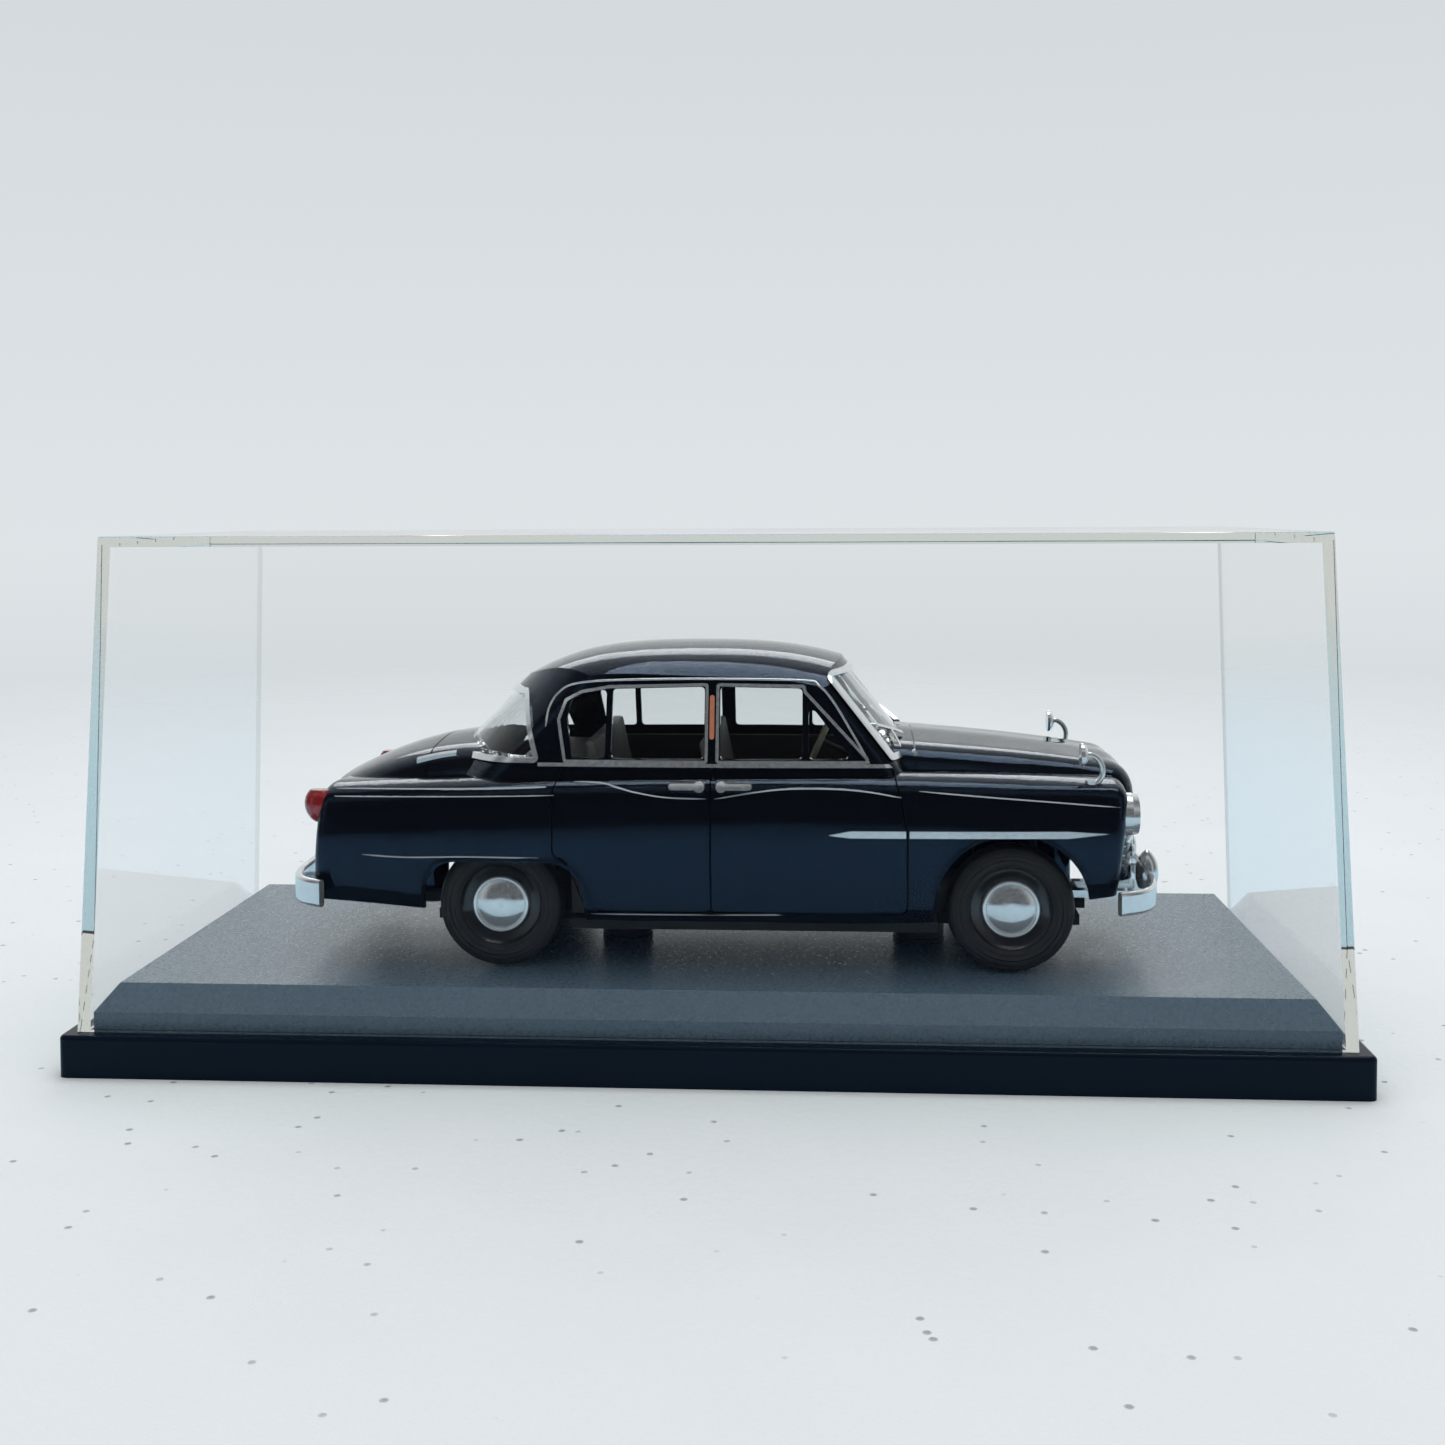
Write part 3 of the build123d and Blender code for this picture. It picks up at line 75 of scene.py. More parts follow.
# ---------------------------------------------------------------- material helpers
class Finish:
    """A node material built step by step round one Principled shader."""

    def __init__(self, name, **values):
        self.material = bpy.data.materials.new(name)
        self.material.use_nodes = True
        self.tree = self.material.node_tree
        self.shader = self.tree.nodes["Principled BSDF"]
        self.output = self.tree.nodes["Material Output"]
        self.coords = self.add("ShaderNodeTexCoord")
        self.normal = None
        for socket, value in values.items():
            self.shader.inputs[socket.replace("_", " ")].default_value = value

    def add(self, kind, **values):
        node = self.tree.nodes.new(kind)
        for name, value in values.items():
            setattr(node, name, value)
        return node

    def link(self, a, b):
        self.tree.links.new(a, b)

    def stretched(self, factors):
        """Object coordinates scaled apart along the three axes."""
        mapping = self.add("ShaderNodeMapping")
        mapping.inputs["Scale"].default_value = factors
        self.link(self.coords.outputs["Object"], mapping.inputs["Vector"])
        return mapping.outputs["Vector"]

    def noise(self, size, detail=3.0, rough=0.5, vector=None):
        """Noise whose features are about that many millimetres across."""
        node = self.add("ShaderNodeTexNoise")
        node.inputs["Scale"].default_value = 1.0 / (size * MM)
        node.inputs["Detail"].default_value = detail
        node.inputs["Roughness"].default_value = rough
        self.link(vector or self.coords.outputs["Object"], node.inputs["Vector"])
        return node.outputs["Fac"]

    def cells(self, size):
        """Distance from the middles of cells about that many millimetres across."""
        node = self.add("ShaderNodeTexVoronoi")
        node.inputs["Scale"].default_value = 1.0 / (size * MM)
        self.link(self.coords.outputs["Object"], node.inputs["Vector"])
        return node.outputs["Distance"]

    def waves(self, size, direction):
        """Bands that repeat after that many millimetres."""
        node = self.add("ShaderNodeTexWave", bands_direction=direction)
        node.inputs["Scale"].default_value = WAVE_PERIOD / (size * MM)
        self.link(self.coords.outputs["Object"], node.inputs["Vector"])
        return node.outputs["Fac"]

    def spread(self, value, low, high, from_low=0.3, from_high=0.7):
        """Remaps a 0..1 value to the range low..high."""
        node = self.add("ShaderNodeMapRange")
        node.inputs["From Min"].default_value = from_low
        node.inputs["From Max"].default_value = from_high
        node.inputs["To Min"].default_value = low
        node.inputs["To Max"].default_value = high
        self.link(value, node.inputs["Value"])
        return node.outputs["Result"]

    def blend(self, fac, a, b):
        """Colour a where fac is 0, b where it is 1; either may be a socket."""
        return mix_colours(self.tree, fac, a, b)

    def bump(self, height, depth):
        """Adds relief of that many millimetres."""
        node = self.add("ShaderNodeBump")
        node.inputs["Distance"].default_value = depth * MM
        self.link(height, node.inputs["Height"])
        if self.normal:
            self.link(self.normal, node.inputs["Normal"])
        self.normal = node.outputs["Normal"]

    def to(self, socket, value):
        self.link(value, self.shader.inputs[socket])

    def clear(self):
        """Lets light pass straight through for shadow and diffuse rays."""
        path = self.add("ShaderNodeLightPath")
        through = self.add("ShaderNodeBsdfTransparent")
        through.inputs["Color"].default_value = CLEAR_SHADOW
        mix = self.add("ShaderNodeMixShader")
        either = self.add("ShaderNodeMath", operation="MAXIMUM")
        self.link(path.outputs["Is Shadow Ray"], either.inputs[0])
        self.link(path.outputs["Is Diffuse Ray"], either.inputs[1])
        self.link(either.outputs[0], mix.inputs["Fac"])
        self.link(self.shader.outputs["BSDF"], mix.inputs[1])
        self.link(through.outputs["BSDF"], mix.inputs[2])
        self.link(mix.outputs["Shader"], self.output.inputs["Surface"])

    def done(self):
        if self.normal:
            self.link(self.normal, self.shader.inputs["Normal"])
        return self.material


def plinth_black():
    """Gloss black moulding with fine lengthwise wipe marks."""
    f = Finish("plinth_black", IOR=1.49, Specular_IOR_Level=0.1)
    f.to("Base Color", f.blend(f.noise(9.0), (0.0018, 0.0055, 0.0125), (0.0028, 0.0075, 0.016)))
    f.to("Roughness", f.spread(f.noise(2.2, 6.0, 0.7), 0.09, 0.2))
    scratches = f.noise(0.35, 2.0, 0.4, f.stretched((0.04, 1.0, 1.0)))
    f.bump(scratches, 0.003)
    f.bump(f.noise(6.0, 2.0), 0.02)
    return f.done()


def deck_grey():
    """Blue-grey satin with pale and dark specks."""
    f = Finish("deck_grey", IOR=1.52)
    tone = f.blend(f.noise(14.0, 4.0), (0.072, 0.11, 0.15), (0.084, 0.124, 0.165))
    speck = f.spread(f.cells(0.42), 1.0, 0.0, 0.12, 0.3)
    tone = f.blend(speck, tone, (0.13, 0.175, 0.22))
    dark = f.spread(f.noise(0.3, 1.0), 0.0, 0.5, 0.56, 0.7)
    f.to("Base Color", f.blend(dark, tone, (0.04, 0.062, 0.085)))
    f.to("Roughness", f.spread(f.noise(0.5, 5.0, 0.7), 0.22, 0.36))
    f.bump(f.noise(0.28, 3.0, 0.6), 0.008)
    return f.done()


def clear_acrylic():
    """Clear moulding that darkens a little along its length, as its edges show."""
    f = Finish(
        "clear_acrylic", IOR=1.49, Transmission_Weight=1.0,
        Base_Color=(0.985, 0.99, 0.988, 1.0), Specular_Tint=(0.03, 0.045, 0.08, 1.0),
    )
    f.to("Roughness", f.spread(f.noise(7.0, 6.0, 0.65), 0.0, 0.012))
    f.bump(f.noise(24.0, 1.0), 0.01)
    f.clear()
    haze = f.add("ShaderNodeVolumeAbsorption")
    haze.inputs["Color"].default_value = (0.592, 0.6, 0.472, 1.0)
    haze.inputs["Density"].default_value = 10.0
    f.link(haze.outputs["Volume"], f.output.inputs["Volume"])
    return f.done()


def body_black():
    """Gloss black enamel with a cold sheen."""
    f = Finish("body_black", IOR=1.55, Specular_Tint=(0.3, 0.5, 0.8, 1.0))
    f.to("Base Color", f.blend(f.noise(5.0), (0.002, 0.002, 0.0026), (0.0032, 0.003, 0.0038)))
    f.to("Roughness", f.spread(f.noise(1.4, 5.0, 0.6), 0.03, 0.07))
    f.bump(f.noise(1.3, 2.0, 0.5), 0.0006)
    return f.done()


def car_glass():
    """Clear glazing that is not quite flat."""
    f = Finish(
        "car_glass", IOR=1.4, Transmission_Weight=1.0,
        Base_Color=(0.9, 0.92, 0.92, 1.0), Specular_Tint=(0.5, 0.5, 0.5, 1.0),
    )
    f.to("Roughness", f.spread(f.noise(3.0, 4.0), 0.0, 0.03))
    f.bump(f.noise(7.0, 1.0), 0.02)
    f.clear()
    return f.done()


def bright_trim():
    """Plated plastic, slightly uneven."""
    f = Finish("bright_trim", Metallic=0.85)
    f.to("Base Color", f.blend(f.noise(1.1, 4.0), (0.72, 0.725, 0.73), (0.85, 0.855, 0.86)))
    f.to("Roughness", f.spread(f.noise(0.6, 4.0, 0.6), 0.07, 0.2))
    f.bump(f.noise(0.45, 3.0), 0.008)
    return f.done()


def satin(name, low, high, rough, grain, depth, **values):
    """Moulded plastic: two close tones, an uneven sheen and a grain (mm) of that depth (mm)."""
    f = Finish(name, **values)
    f.to("Base Color", f.blend(f.noise(grain * 8, 4.0), low, high))
    f.to("Roughness", f.spread(f.noise(grain * 3, 4.0, 0.6), rough - 0.07, rough + 0.08))
    f.bump(f.noise(grain, 4.0, 0.6), depth)
    return f.done()


def seat_grey():
    """Pleated seat covering."""
    f = Finish("seat_grey", IOR=1.45)
    f.to("Base Color", f.blend(f.noise(2.0, 4.0), (0.1, 0.097, 0.09), (0.16, 0.155, 0.145)))
    f.to("Roughness", f.spread(f.noise(0.5), 0.5, 0.68))
    f.bump(f.waves(1.5, "Y"), 0.16)
    f.bump(f.noise(0.3, 4.0), 0.02)
    return f.done()


def tyre_rubber():
    """Dull black vinyl."""
    f = Finish("tyre_rubber", IOR=1.5, Specular_IOR_Level=0.4)
    f.to("Base Color", f.blend(f.noise(1.6, 5.0), (0.011, 0.011, 0.0115), (0.022, 0.022, 0.0225)))
    f.to("Roughness", f.spread(f.noise(0.7, 5.0, 0.6), 0.42, 0.66))
    f.bump(f.noise(0.22, 4.0), 0.012)
    return f.done()


def steel(name, rough):
    """Turned steel, brushed round its length."""
    f = Finish(name, Metallic=1.0)
    f.to("Base Color", f.blend(f.noise(0.8, 5.0), (0.44, 0.44, 0.45), (0.6, 0.6, 0.61)))
    brushed = f.noise(0.12, 3.0, 0.5, f.stretched((1.0, 0.06, 1.0)))
    f.to("Roughness", f.spread(brushed, rough - 0.08, rough + 0.1))
    f.bump(brushed, 0.004)
    return f.done()


def lens(name, low, high, **values):
    """Moulded lens with fine upright flutes under a clear skin."""
    f = Finish(name, Coat_Weight=1.0, Coat_Roughness=0.02, **values)
    f.to("Base Color", f.blend(f.noise(0.8, 3.0), low, high))
    f.to("Roughness", f.spread(f.noise(0.5), 0.08, 0.2))
    f.bump(f.waves(0.32, "Y"), 0.03)
    f.bump(f.noise(0.3), 0.004)
    return f.done()


FINISHES = {
    "plinth_black": plinth_black(),
    "deck_grey": deck_grey(),
    "clear_acrylic": clear_acrylic(),
    "body_black": body_black(),
    "car_glass": car_glass(),
    "bright_trim": bright_trim(),
    "underbody_black": satin(
        "underbody_black", (0.008,) * 3, (0.014,) * 3, 0.55, 0.25, 0.02, IOR=1.45
    ),
    "post_black": satin(
        "post_black", (0.01, 0.01, 0.011), (0.018, 0.018, 0.02), 0.38, 0.2, 0.012, IOR=1.45
    ),
    "interior_dark": satin(
        "interior_dark", (0.02, 0.018, 0.016), (0.035, 0.031, 0.028), 0.55, 0.3, 0.02
    ),
    "wheel_ivory": satin("wheel_ivory", (0.3, 0.28, 0.21), (0.38, 0.35, 0.27), 0.3, 0.3, 0.01),
    "rim_black": satin(
        "rim_black", (0.004,) * 3, (0.007,) * 3, 0.16, 0.5, 0.004, Coat_Weight=0.6
    ),
    # Painted shade: near-black strips laid in the doors' shut lines stand for the shade inside
    # them.
    "shut_line_painted_shade": satin(
        "shut_line_painted_shade", (0.0015,) * 3, (0.0025,) * 3, 0.6, 0.3, 0.01, Specular_IOR_Level=0.08
    ),
    # Painted highlight: a pale tone on the creases stands for the light they catch.
    "crease_painted_highlight": satin("crease_painted_highlight", (0.3, 0.32, 0.35), (0.42, 0.44, 0.48), 0.3, 0.3, 0.004),
    "seat_grey": seat_grey(),
    "tyre_rubber": tyre_rubber(),
    "screw_steel": steel("screw_steel", 0.34),
    "axle_steel": steel("axle_steel", 0.28),
    "lamp_clear": lens("lamp_clear", (0.62, 0.64, 0.65), (0.78, 0.8, 0.81), Metallic=0.5),
    "lamp_red": lens("lamp_red", (0.17, 0.004, 0.005), (0.3, 0.008, 0.01)),
    "lamp_amber": lens("lamp_amber", (0.45, 0.15, 0.08), (0.58, 0.21, 0.12)),
}
SLOTS = {part["node"]: part["material_slot"] for part in frame["record"]["subparts"]}
for node, obj in NODES.items():
    obj.data.materials.clear()
    obj.data.materials.append(FINISHES[SLOTS[node]])
    for polygon in obj.data.polygons:
        polygon.material_index = 0


def piece(name, bm, finish, body):
    """A finished bmesh as a piece in that finish, riding on a body.

    The record has no slot for the painted-shade finish of the strips in the shut lines and the
    painted-highlight finish of the creases, so those pieces have none.
    """
    bmesh.ops.recalc_face_normals(bm, faces=bm.faces)
    mesh = bpy.data.meshes.new(name)
    bm.to_mesh(mesh)
    bm.free()
    mesh.materials.append(FINISHES[finish])
    obj = bpy.data.objects.new(name, mesh)
    bpy.context.collection.objects.link(obj)
    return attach(obj, body)


# ---------------------------------------------------------------- clear cover
# Millimetres, and degrees for the draft.
COVER_WALL = 1.2
COVER_DRAFT = 2.6
COVER_EDGE = 0.12
COVER_SEAT_GAP = 0.03
GATE_RADIUS = 0.8
GATE_DEPTH = 0.12
# The gate's points, in four quarters that each fan out to one corner of the roof.
GATE_SIDES = 24
GATE_QUARTER = GATE_SIDES // 4
# Direction of the roof's first corner from its middle, in degrees, and where sorting begins.
FIRST_CORNER = 225
SORT_START = 181


def cover_shell():
    """The moulded cover with its crisp edges and the gate's shallow recess on the roof."""
    low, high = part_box("clear_cover")
    centre = (low + high) / 2
    half = (high - low) / 2
    lean = math.tan(math.radians(COVER_DRAFT))
    bm = bmesh.new()

    def ring(z, inset):
        reach = [side - inset - lean * (z - low.z) for side in (half.x, half.y)]
        corners = ((-1, -1), (1, -1), (1, 1), (-1, 1))
        return [
            bm.verts.new((centre.x + a * reach[0], centre.y + b * reach[1], z)) for a, b in corners
        ]

    def disc(z):
        radius = GATE_RADIUS * MM
        turns = [
            math.radians(FIRST_CORNER + k * 360 / GATE_SIDES) for k in range(GATE_SIDES)
        ]
        return [bm.verts.new((radius * math.cos(a), radius * math.sin(a), z)) for a in turns]

    def turn_of(vertex):
        turn = math.atan2(vertex.co.y, vertex.co.x) - math.radians(SORT_START)
        return turn % math.tau

    foot, wall = low.z + COVER_SEAT_GAP * MM, COVER_WALL * MM
    outer_foot, outer_head = ring(foot, 0), ring(high.z, 0)
    inner_foot, inner_head = ring(foot, wall), ring(high.z - wall, wall)
    walls = ((outer_foot, outer_head), (inner_foot, inner_head), (outer_foot, inner_foot))
    for near, far in walls:
        for k in range(4):
            bm.faces.new((near[k - 1], near[k], far[k], far[k - 1]))
    bm.faces.new(inner_head)
    bm.faces.new(outer_head)
    bmesh.ops.recalc_face_normals(bm, faces=bm.faces)
    corners = set(outer_head)
    edges = [e for e in bm.edges if corners & set(e.verts)]
    bmesh.ops.bevel(
        bm, geom=edges, offset=COVER_EDGE * MM, segments=2, affect="EDGES", profile=0.5
    )
    top = [f for f in bm.faces if f.calc_center_median().z > high.z - COVER_EDGE * MM / 2]
    roof = max(top, key=lambda f: f.calc_area())
    head = sorted(roof.verts, key=turn_of)
    bm.faces.remove(roof)
    rim, bed = disc(high.z), disc(high.z - GATE_DEPTH * MM)
    for k in range(GATE_SIDES):
        corner = head[(k + GATE_QUARTER // 2 - 1) % GATE_SIDES // GATE_QUARTER]
        bm.faces.new((rim[k - 1], rim[k], bed[k], bed[k - 1]))
        bm.faces.new((rim[k - 1], rim[k], corner))
    for k in range(4):
        bm.faces.new((head[k - 1], head[k], rim[GATE_QUARTER * k - GATE_QUARTER // 2]))
    bm.faces.new(bed)
    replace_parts(piece("cover_shell", bm, "clear_acrylic", "cover"), "clear_cover")


cover_shell()

# ---------------------------------------------------------------- raised lines on the body
# A ray towards the body starts this far from the middle plane, in metres.
RAY_START = 0.04
# Lines end where the body is narrower than this, in millimetres from the middle plane.
FLANK = 14.5
CABIN_SIDE = 11.0
# A bead begins at this share of its size and is full after so many points.
BEAD_TIP = 0.25
BEAD_TAPER = 3
BEAD_SIDES = 8
PATH_STEPS = 8

body_mesh = NODES["car_body"].data
body_tree = BVHTree.FromPolygons(
    [v.co for v in body_mesh.vertices], [p.vertices for p in body_mesh.polygons]
)


def smooth_path(points):
    """Points on a Catmull-Rom curve through the given ones."""
    ends = [2 * points[0] - points[1], *points, 2 * points[-1] - points[-2]]
    path = []
    for a, b, c, d in zip(ends, ends[1:], ends[2:], ends[3:]):
        slope, bend, twist = c - a, 2 * a - 5 * b + 4 * c - d, 3 * b - a - 3 * c + d
        for i in range(PATH_STEPS):
            t = i / PATH_STEPS
            path.append(0.5 * (2 * b + slope * t + bend * t * t + twist * t**3))
    return [*path, points[-1]]


def bridge(name, rings, finish, smooth):
    """A piece on the stand through rings of points, closed at both ends."""
    bm = bmesh.new()
    loops = [[bm.verts.new(point) for point in ring] for ring in rings]
    for low, high in zip(loops, loops[1:]):
        for k in range(len(low)):
            bm.faces.new((low[k - 1], low[k], high[k], high[k - 1]))
    bm.faces.new(loops[0])
    bm.faces.new(loops[-1])
    for face in bm.faces:
        face.smooth = smooth
    return piece(name, bm, finish, "stand")


def tube(name, path, radii, finish):
    """Round bead along a path, with its own radius at each point."""
    rings = []
    across = None
    for i, (point, radius) in enumerate(zip(path, radii)):
        along = (path[min(i + 1, len(path) - 1)] - path[max(i - 1, 0)]).normalized()
        across = across - along * across.dot(along) if across else along.orthogonal()
        across = across.normalized()
        rise = along.cross(across)
        turns = [math.tau * k / BEAD_SIDES for k in range(BEAD_SIDES)]
        rings.append([
            point + radius * (across * math.cos(a) + rise * math.sin(a)) for a in turns
        ])
    return bridge(name, rings, finish, True)


def on_side(outline, side, inmost=FLANK, proud=0.0):
    """Smooth path over the body's side through (x, z) millimetres, seen square on.

    It keeps to where the body is wider than inmost, and stands proud of it by that much.
    """
    path = []
    for p in smooth_path([Vector((x * MM, 0.0, z * MM)) for x, z in outline]):
        start = Vector((p.x, side * RAY_START, p.z))
        hit = body_tree.ray_cast(start, Vector((0, -side, 0)))[0]
        if hit and abs(hit.y) > inmost * MM:
            path.append(hit + Vector((0, side * proud * MM, 0)))
    return path


def tapered(count, size):
    """Sizes in metres along a bead that thins out towards its ends."""
    from_end = [min(i, count - 1 - i) for i in range(count)]
    return [size * MM * min(1.0, BEAD_TIP + i / BEAD_TAPER) for i in from_end]


SIDES = ((1, "left"), (-1, "right"))


def side_bead(name, outline, radius, finish="body_black", inmost=FLANK, proud=0.0):
    """Round beads on both sides of the body."""
    for side, word in SIDES:
        path = on_side(outline, side, inmost, proud)
        tube(f"{name}_{word}", path, tapered(len(path), radius), finish)


# A crease's section in shares of its width: where its face begins, how far it is sunk in the
# body, and the tilts of the facets from upright, from the top down, in degrees.
CREASE_TOP = (-0.25, 0.38)
CREASE_SUNK = -0.5
CREASE_TILTS = (45, 41, 37)
# Widths in millimetres.
CREASE_WIDTH = 0.26
TAIL_LINE_WIDTH = 0.18
SILL_CREASE_WIDTH = 0.2


def crease_section():
    """(out, up) points round a crease's section."""
    share = len(CREASE_TILTS)
    section = [CREASE_TOP]
    for tilt in CREASE_TILTS:
        out, up = section[-1]
        turn = math.radians(tilt)
        section.append((out + math.sin(turn) / share, up - math.cos(turn) / share))
    return [*section, (CREASE_SUNK, section[-1][1]), (CREASE_SUNK, CREASE_TOP[1])]


def crease(name, width, outline):
    """Raised creases on both sides of the body, in a pale tone: a painted highlight for the light
    they catch.
    """
    for side, word in SIDES:
        path = on_side(outline, side)
        rings = [
            [point + size * Vector((0, side * out, up)) for out, up in crease_section()]
            for point, size in zip(path, tapered(len(path), width))
        ]
        bridge(f"{name}_{word}", rings, "crease_painted_highlight", False)


def arch_line(centre, radius, start, end, count):
    """(x, z) millimetres round a wheel, from start to end degrees."""
    turns = [math.radians(start + (end - start) * i / (count - 1)) for i in range(count)]
    x, z = centre.x / MM, centre.z / MM
    return [(x + radius * math.cos(a), z + radius * math.sin(a)) for a in turns]


# Sizes of the beads, in millimetres: radii, and how far the middles of the painted-shade strips
# stand out from the bottom of the shut lines.
ARCH_LIP = 0.2
FRONT_ARCH_RADIUS = 9.15
DRIP_RAIL = 0.15
SHADE_STRIP_RADIUS = 0.19
SHADE_STRIP_PROUD = 0.13

AXLE_F = sum(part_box("front_axle"), Vector()) / 2

side_bead("front_arch_lip", arch_line(AXLE_F, FRONT_ARCH_RADIUS, 12, 168, 14), ARCH_LIP)
side_bead("rear_arch_lip", [
    (-33.35, 18.3), (-33.1, 20.2), (-31.9, 21.9), (-29.6, 22.5), (-24.0, 22.6), (-18.2, 22.55),
    (-15.6, 21.6), (-14.3, 19.6), (-13.5, 17.4), (-12.9, 16.3),
], ARCH_LIP)
side_bead("drip_rail", [
    (-19.3, 37.4), (-19.0, 39.6), (-18.0, 41.2), (-16.2, 42.2), (-12.0, 42.7), (-1.0, 42.95),
    (10.6, 42.75), (12.7, 42.1), (14.4, 40.2), (16.8, 36.3), (18.5, 33.4),
], DRIP_RAIL, "bright_trim", CABIN_SIDE)

# Near-black strips in the doors' shut lines, painted shade for the dark gaps, as (x, z)
# millimetres.
SHUT_LINE_SHADE_STRIPS = {
    "rear_door_shade_strip": [
        (-14.2, 16.55), (-16.1, 21.85), (-17.75, 23.25), (-17.9, 25.25), (-17.9, 28.75),
        (-17.8, 30.65), (-16.85, 33.15),
    ],
    "door_split_shade_strip": [(0.3, 16.55), (0.3, 24.85), (0.3, 33.15)],
    "front_door_shade_strip": [
        (22.0, 16.48), (22.65, 17.25), (22.7, 20.45), (22.7, 25.05), (22.1, 29.25),
        (21.05, 33.15),
    ],
    "door_foot_shade_strip": [(-14.0, 16.45), (0.3, 16.45), (22.0, 16.45)],
}
for name, outline in SHUT_LINE_SHADE_STRIPS.items():
    side_bead(name, outline, SHADE_STRIP_RADIUS, "shut_line_painted_shade", proud=SHADE_STRIP_PROUD)

# Creases, as (x, z) millimetres.
crease("rear_swage", CREASE_WIDTH, [(-40.2, 22.95), (-35.0, 22.75), (-28.0, 22.9), (-19.5, 22.85)])
crease("tail_crease", CREASE_WIDTH, [(-44.8, 30.2), (-34.9, 30.4), (-25.9, 30.6), (-17.7, 30.9)])
crease("tail_line", TAIL_LINE_WIDTH, [(-44.8, 29.5), (-34.9, 29.65), (-25.9, 29.8), (-17.7, 30.0)])
crease("rear_door_crease", CREASE_WIDTH, [
    (-15.6, 31.4), (-12.2, 31.3), (-10.4, 30.9), (-8.2, 30.4), (-4.8, 29.9), (-0.2, 29.75),
])
crease("front_door_crease", CREASE_WIDTH, [
    (0.8, 29.75), (5.3, 30.5), (9.4, 30.9), (14.7, 30.9), (18.4, 30.6), (22.0, 30.0),
])
crease("wing_crease", CREASE_WIDTH, [(24.0, 30.7), (32.7, 30.0), (39.3, 29.5), (46.6, 28.9)])
crease("sill_crease", SILL_CREASE_WIDTH, [(-13.6, 16.2), (0.2, 16.25), (21.6, 16.5)])


# ---------------------------------------------------------------- floor and backdrop
# Metres from the middle of the table top: its rings of points, and where it fades out.
TABLE_RINGS = (0.05, 0.1, 0.2, 0.4, 0.8)
TABLE_SIDES = 48
TABLE_FADE = (0.14, 0.5)
# The table top's colour in glossy reflections, which makes the paint look colder.
TABLE_MIRRORED = (0.5, 0.68, 0.8)


def floor():
    """A pale, faintly speckled table top that melts into the surround."""
    mesh = bpy.data.meshes.new("table_top")
    bm = bmesh.new()
    turns = [math.tau * i / TABLE_SIDES for i in range(TABLE_SIDES)]
    centre = bm.verts.new((0, 0, 0))
    last = None
    for radius in TABLE_RINGS:
        ring = [bm.verts.new((radius * math.cos(a), radius * math.sin(a), 0)) for a in turns]
        for i in range(TABLE_SIDES):
            j = (i + 1) % TABLE_SIDES
            if last:
                bm.faces.new((last[i], ring[i], ring[j], last[j]))
            else:
                bm.faces.new((centre, ring[i], ring[j]))
        last = ring
    bm.to_mesh(mesh)
    bm.free()
    obj = bpy.data.objects.new("table_top", mesh)
    bpy.context.collection.objects.link(obj)
    f = Finish("table_top", IOR=1.4, Specular_IOR_Level=0.15)
    tone = f.blend(f.noise(20.0, 5.0), (0.74, 0.765, 0.785), (0.79, 0.81, 0.825))
    dimple = f.spread(f.cells(4.2), 1.0, 0.0, 0.03, 0.09)
    tone = f.blend(dimple, tone, (0.42, 0.44, 0.47))
    mirrored = f.add("ShaderNodeLightPath").outputs["Glossy Depth"]
    f.to("Base Color", f.blend(mirrored, tone, TABLE_MIRRORED))
    f.to("Roughness", f.spread(f.noise(3.0), 0.75, 0.9))
    f.bump(dimple, -0.25)
    f.bump(f.noise(1.3, 5.0, 0.6), 0.14)
    reach = f.add("ShaderNodeVectorMath", operation="LENGTH")
    f.link(f.coords.outputs["Object"], reach.inputs[0])
    fade = f.spread(reach.outputs["Value"], 0.0, 1.0, *TABLE_FADE)
    clear = f.add("ShaderNodeBsdfTransparent")
    mix = f.add("ShaderNodeMixShader")
    f.link(fade, mix.inputs["Fac"])
    f.done()
    f.link(f.shader.outputs["BSDF"], mix.inputs[1])
    f.link(clear.outputs["BSDF"], mix.inputs[2])
    f.link(mix.outputs["Shader"], f.output.inputs["Surface"])
    mesh.materials.append(f.material)


floor()


# ---------------------------------------------------------------- lights and camera
LAMP_TARGET = Vector((0.0, 0.0, 0.03))


def lamp(name, size, place, power):
    """Soft rectangular lamp that faces the model."""
    light = bpy.data.lights.new(name, "AREA")
    light.shape = "RECTANGLE"
    light.size, light.size_y = size
    light.energy = power
    obj = bpy.data.objects.new(name, light)
    bpy.context.collection.objects.link(obj)
    obj.location = place
    obj.rotation_euler = (LAMP_TARGET - Vector(place)).to_track_quat("-Z", "Y").to_euler()


lamp("overhead_softbox", (0.5, 0.35), (0.05, 0.12, 0.7), 1.6)
lamp("back_softbox", (0.8, 0.3), (-0.1, 0.9, 0.55), 1.6)


def ramp(tree, value, stops):
    """Colour that follows a 0..1 value through (place, colour) stops."""
    node = tree.nodes.new("ShaderNodeValToRGB")
    line = node.color_ramp
    for index, (place, colour) in enumerate(stops):
        stop = line.elements[index] if index < 2 else line.elements.new(place)
        stop.position = place
        stop.color = (*colour, 1.0)
    tree.links.new(value, node.inputs["Fac"])
    return node.outputs["Color"]


# Colour of the surround where it only gives light.
SURROUND = (0.72, 0.74, 0.76)
# Its colours from below (0) to above (1), for the eye and for glass.
SEEN_STOPS = [
    (0.44, (0.665, 0.702, 0.73)), (0.49, (0.735, 0.775, 0.8)),
    (0.56, (0.7, 0.74, 0.77)), (0.68, (0.645, 0.675, 0.705)),
]
# Its colours from the front (0) to the back (1), for glossy reflections.
GLOSS_STOPS = [
    (0.1, (0.06, 0.065, 0.075)), (0.2, (0.45, 0.47, 0.5)), (0.28, (0.2, 0.21, 0.23)),
    (0.325, (0.1, 0.1, 0.11)), (0.375, (0.1, 0.1, 0.11)),
    (0.5, (0.07, 0.075, 0.08)), (0.62, (0.4, 0.42, 0.43)), (0.85, (0.72, 0.75, 0.77)),
]


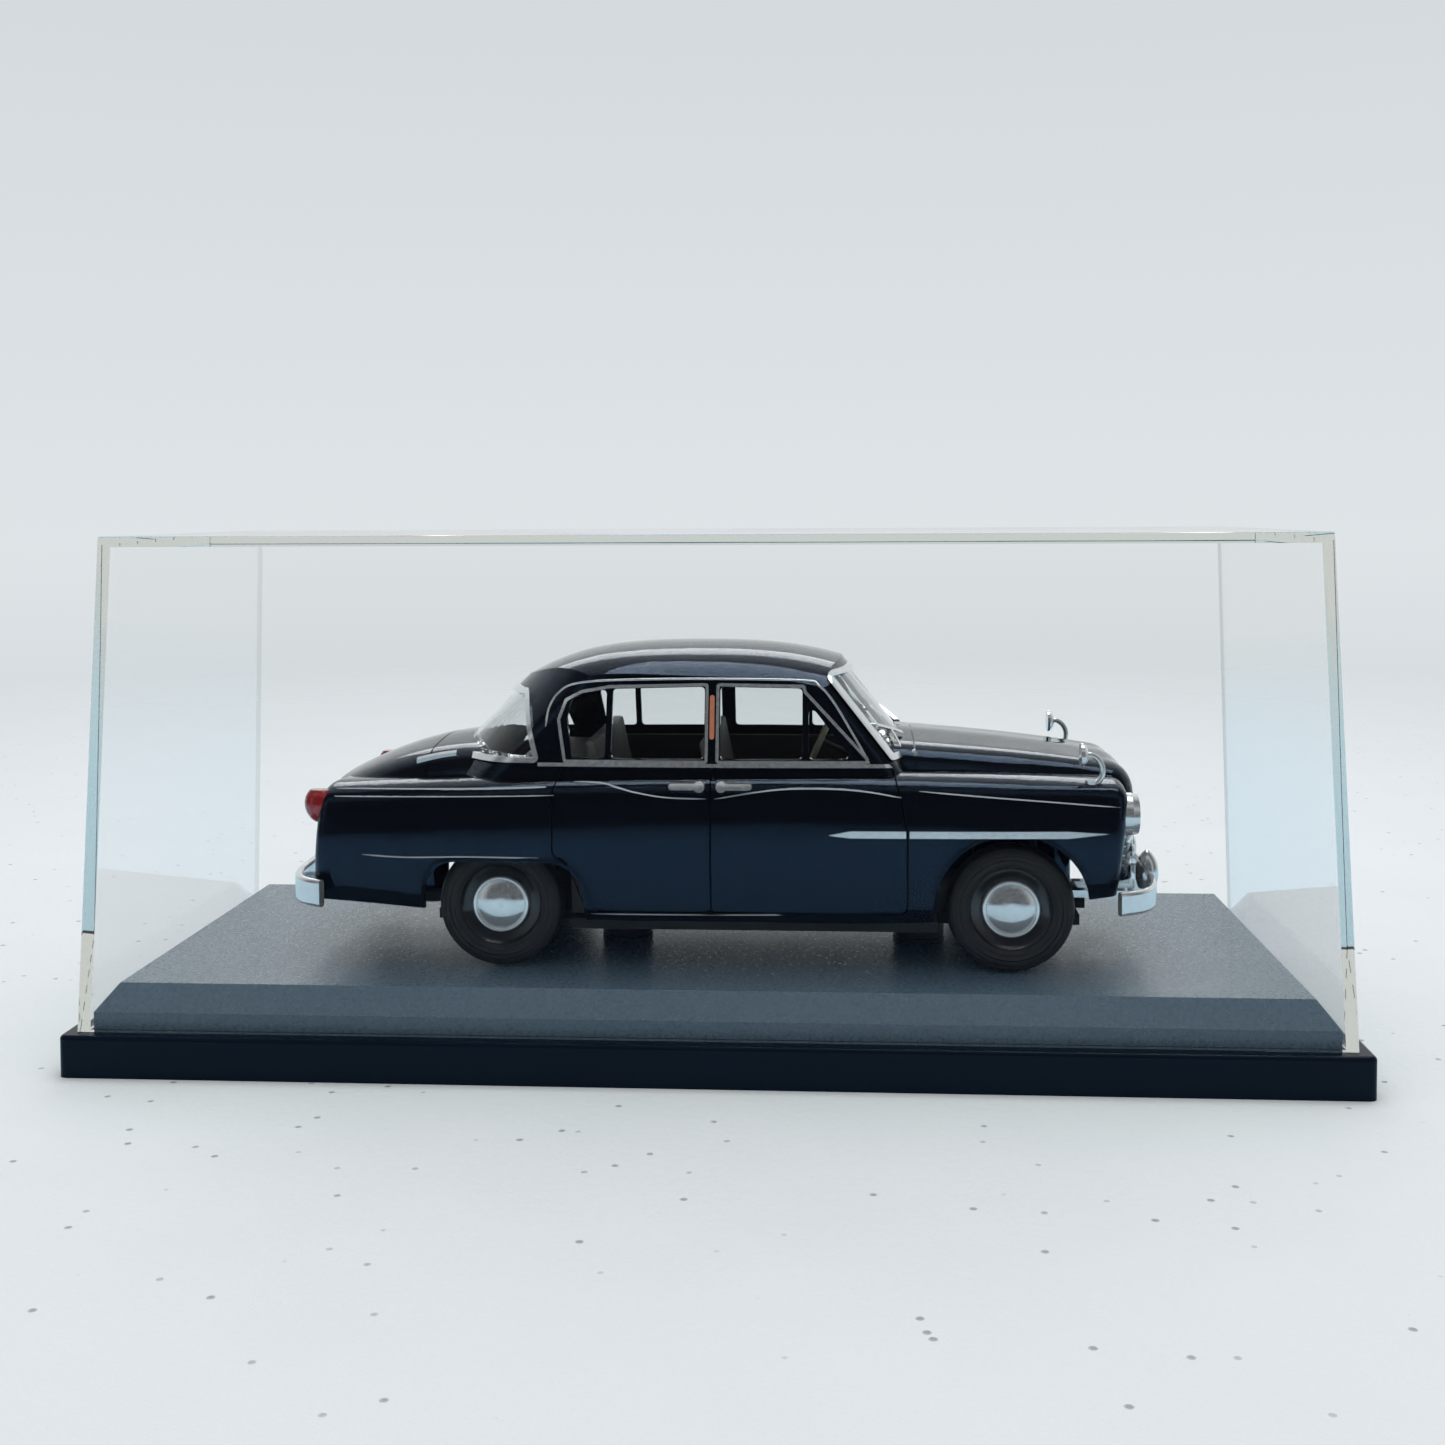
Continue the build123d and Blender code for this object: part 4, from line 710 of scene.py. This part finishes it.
def studio():
    """Pale surround for the eye and glass, a dim front for gloss, plain light for the rest."""
    world = bpy.data.worlds.new("studio")
    bpy.context.scene.world = world
    world.use_nodes = True
    tree = world.node_tree
    background = tree.nodes["Background"]
    coords = tree.nodes.new("ShaderNodeTexCoord")
    parts = tree.nodes.new("ShaderNodeSeparateXYZ")
    tree.links.new(coords.outputs["Generated"], parts.inputs["Vector"])
    spans = {}
    for axis in ("Y", "Z"):
        span = tree.nodes.new("ShaderNodeMapRange")
        span.inputs["From Min"].default_value = -1.0
        tree.links.new(parts.outputs[axis], span.inputs["Value"])
        spans[axis] = span.outputs["Result"]
    seen = ramp(tree, spans["Z"], SEEN_STOPS)
    gloss = ramp(tree, spans["Y"], GLOSS_STOPS)
    path = tree.nodes.new("ShaderNodeLightPath")
    colour = SURROUND
    for flag, instead in (
        ("Is Transmission Ray", seen),
        ("Glossy Depth", gloss),
        ("Is Diffuse Ray", SURROUND),
        ("Is Camera Ray", seen),
    ):
        colour = mix_colours(tree, path.outputs[flag], colour, instead)
    tree.links.new(colour, background.inputs["Color"])
    background.inputs["Strength"].default_value = 1.0


studio()

# The camera's place in metres and its turns in radians.
CAMERA_PLACE = (0.0151, -0.2125, 0.06281)
YAW, PITCH, ROLL = -0.0686, 0.04905, -0.005104

camera = bpy.data.cameras.new("camera")
camera.sensor_width = 36.0
camera.lens = 42.65
camera.shift_y = -0.0900
camera.clip_start = 0.005
view = bpy.data.objects.new("camera", camera)
bpy.context.collection.objects.link(view)
forward = Vector((
    math.sin(YAW) * math.cos(PITCH), math.cos(YAW) * math.cos(PITCH), -math.sin(PITCH)
))
level = Vector((math.cos(YAW), -math.sin(YAW), 0.0))
upright = level.cross(forward)
right = math.cos(ROLL) * level + math.sin(ROLL) * upright
up = -math.sin(ROLL) * level + math.cos(ROLL) * upright
axes = Matrix((right, up, -forward)).transposed().to_4x4()
view.matrix_world = Matrix.Translation(CAMERA_PLACE) @ axes
bpy.context.scene.camera = view

scene = bpy.context.scene
scene.view_settings.view_transform = "Standard"
# Rays cross both walls of the cover and the car's glass, and reflect inside them.
scene.cycles.max_bounces = 36
scene.cycles.glossy_bounces = 28
scene.cycles.transmission_bounces = 16
scene.cycles.transparent_max_bounces = 16
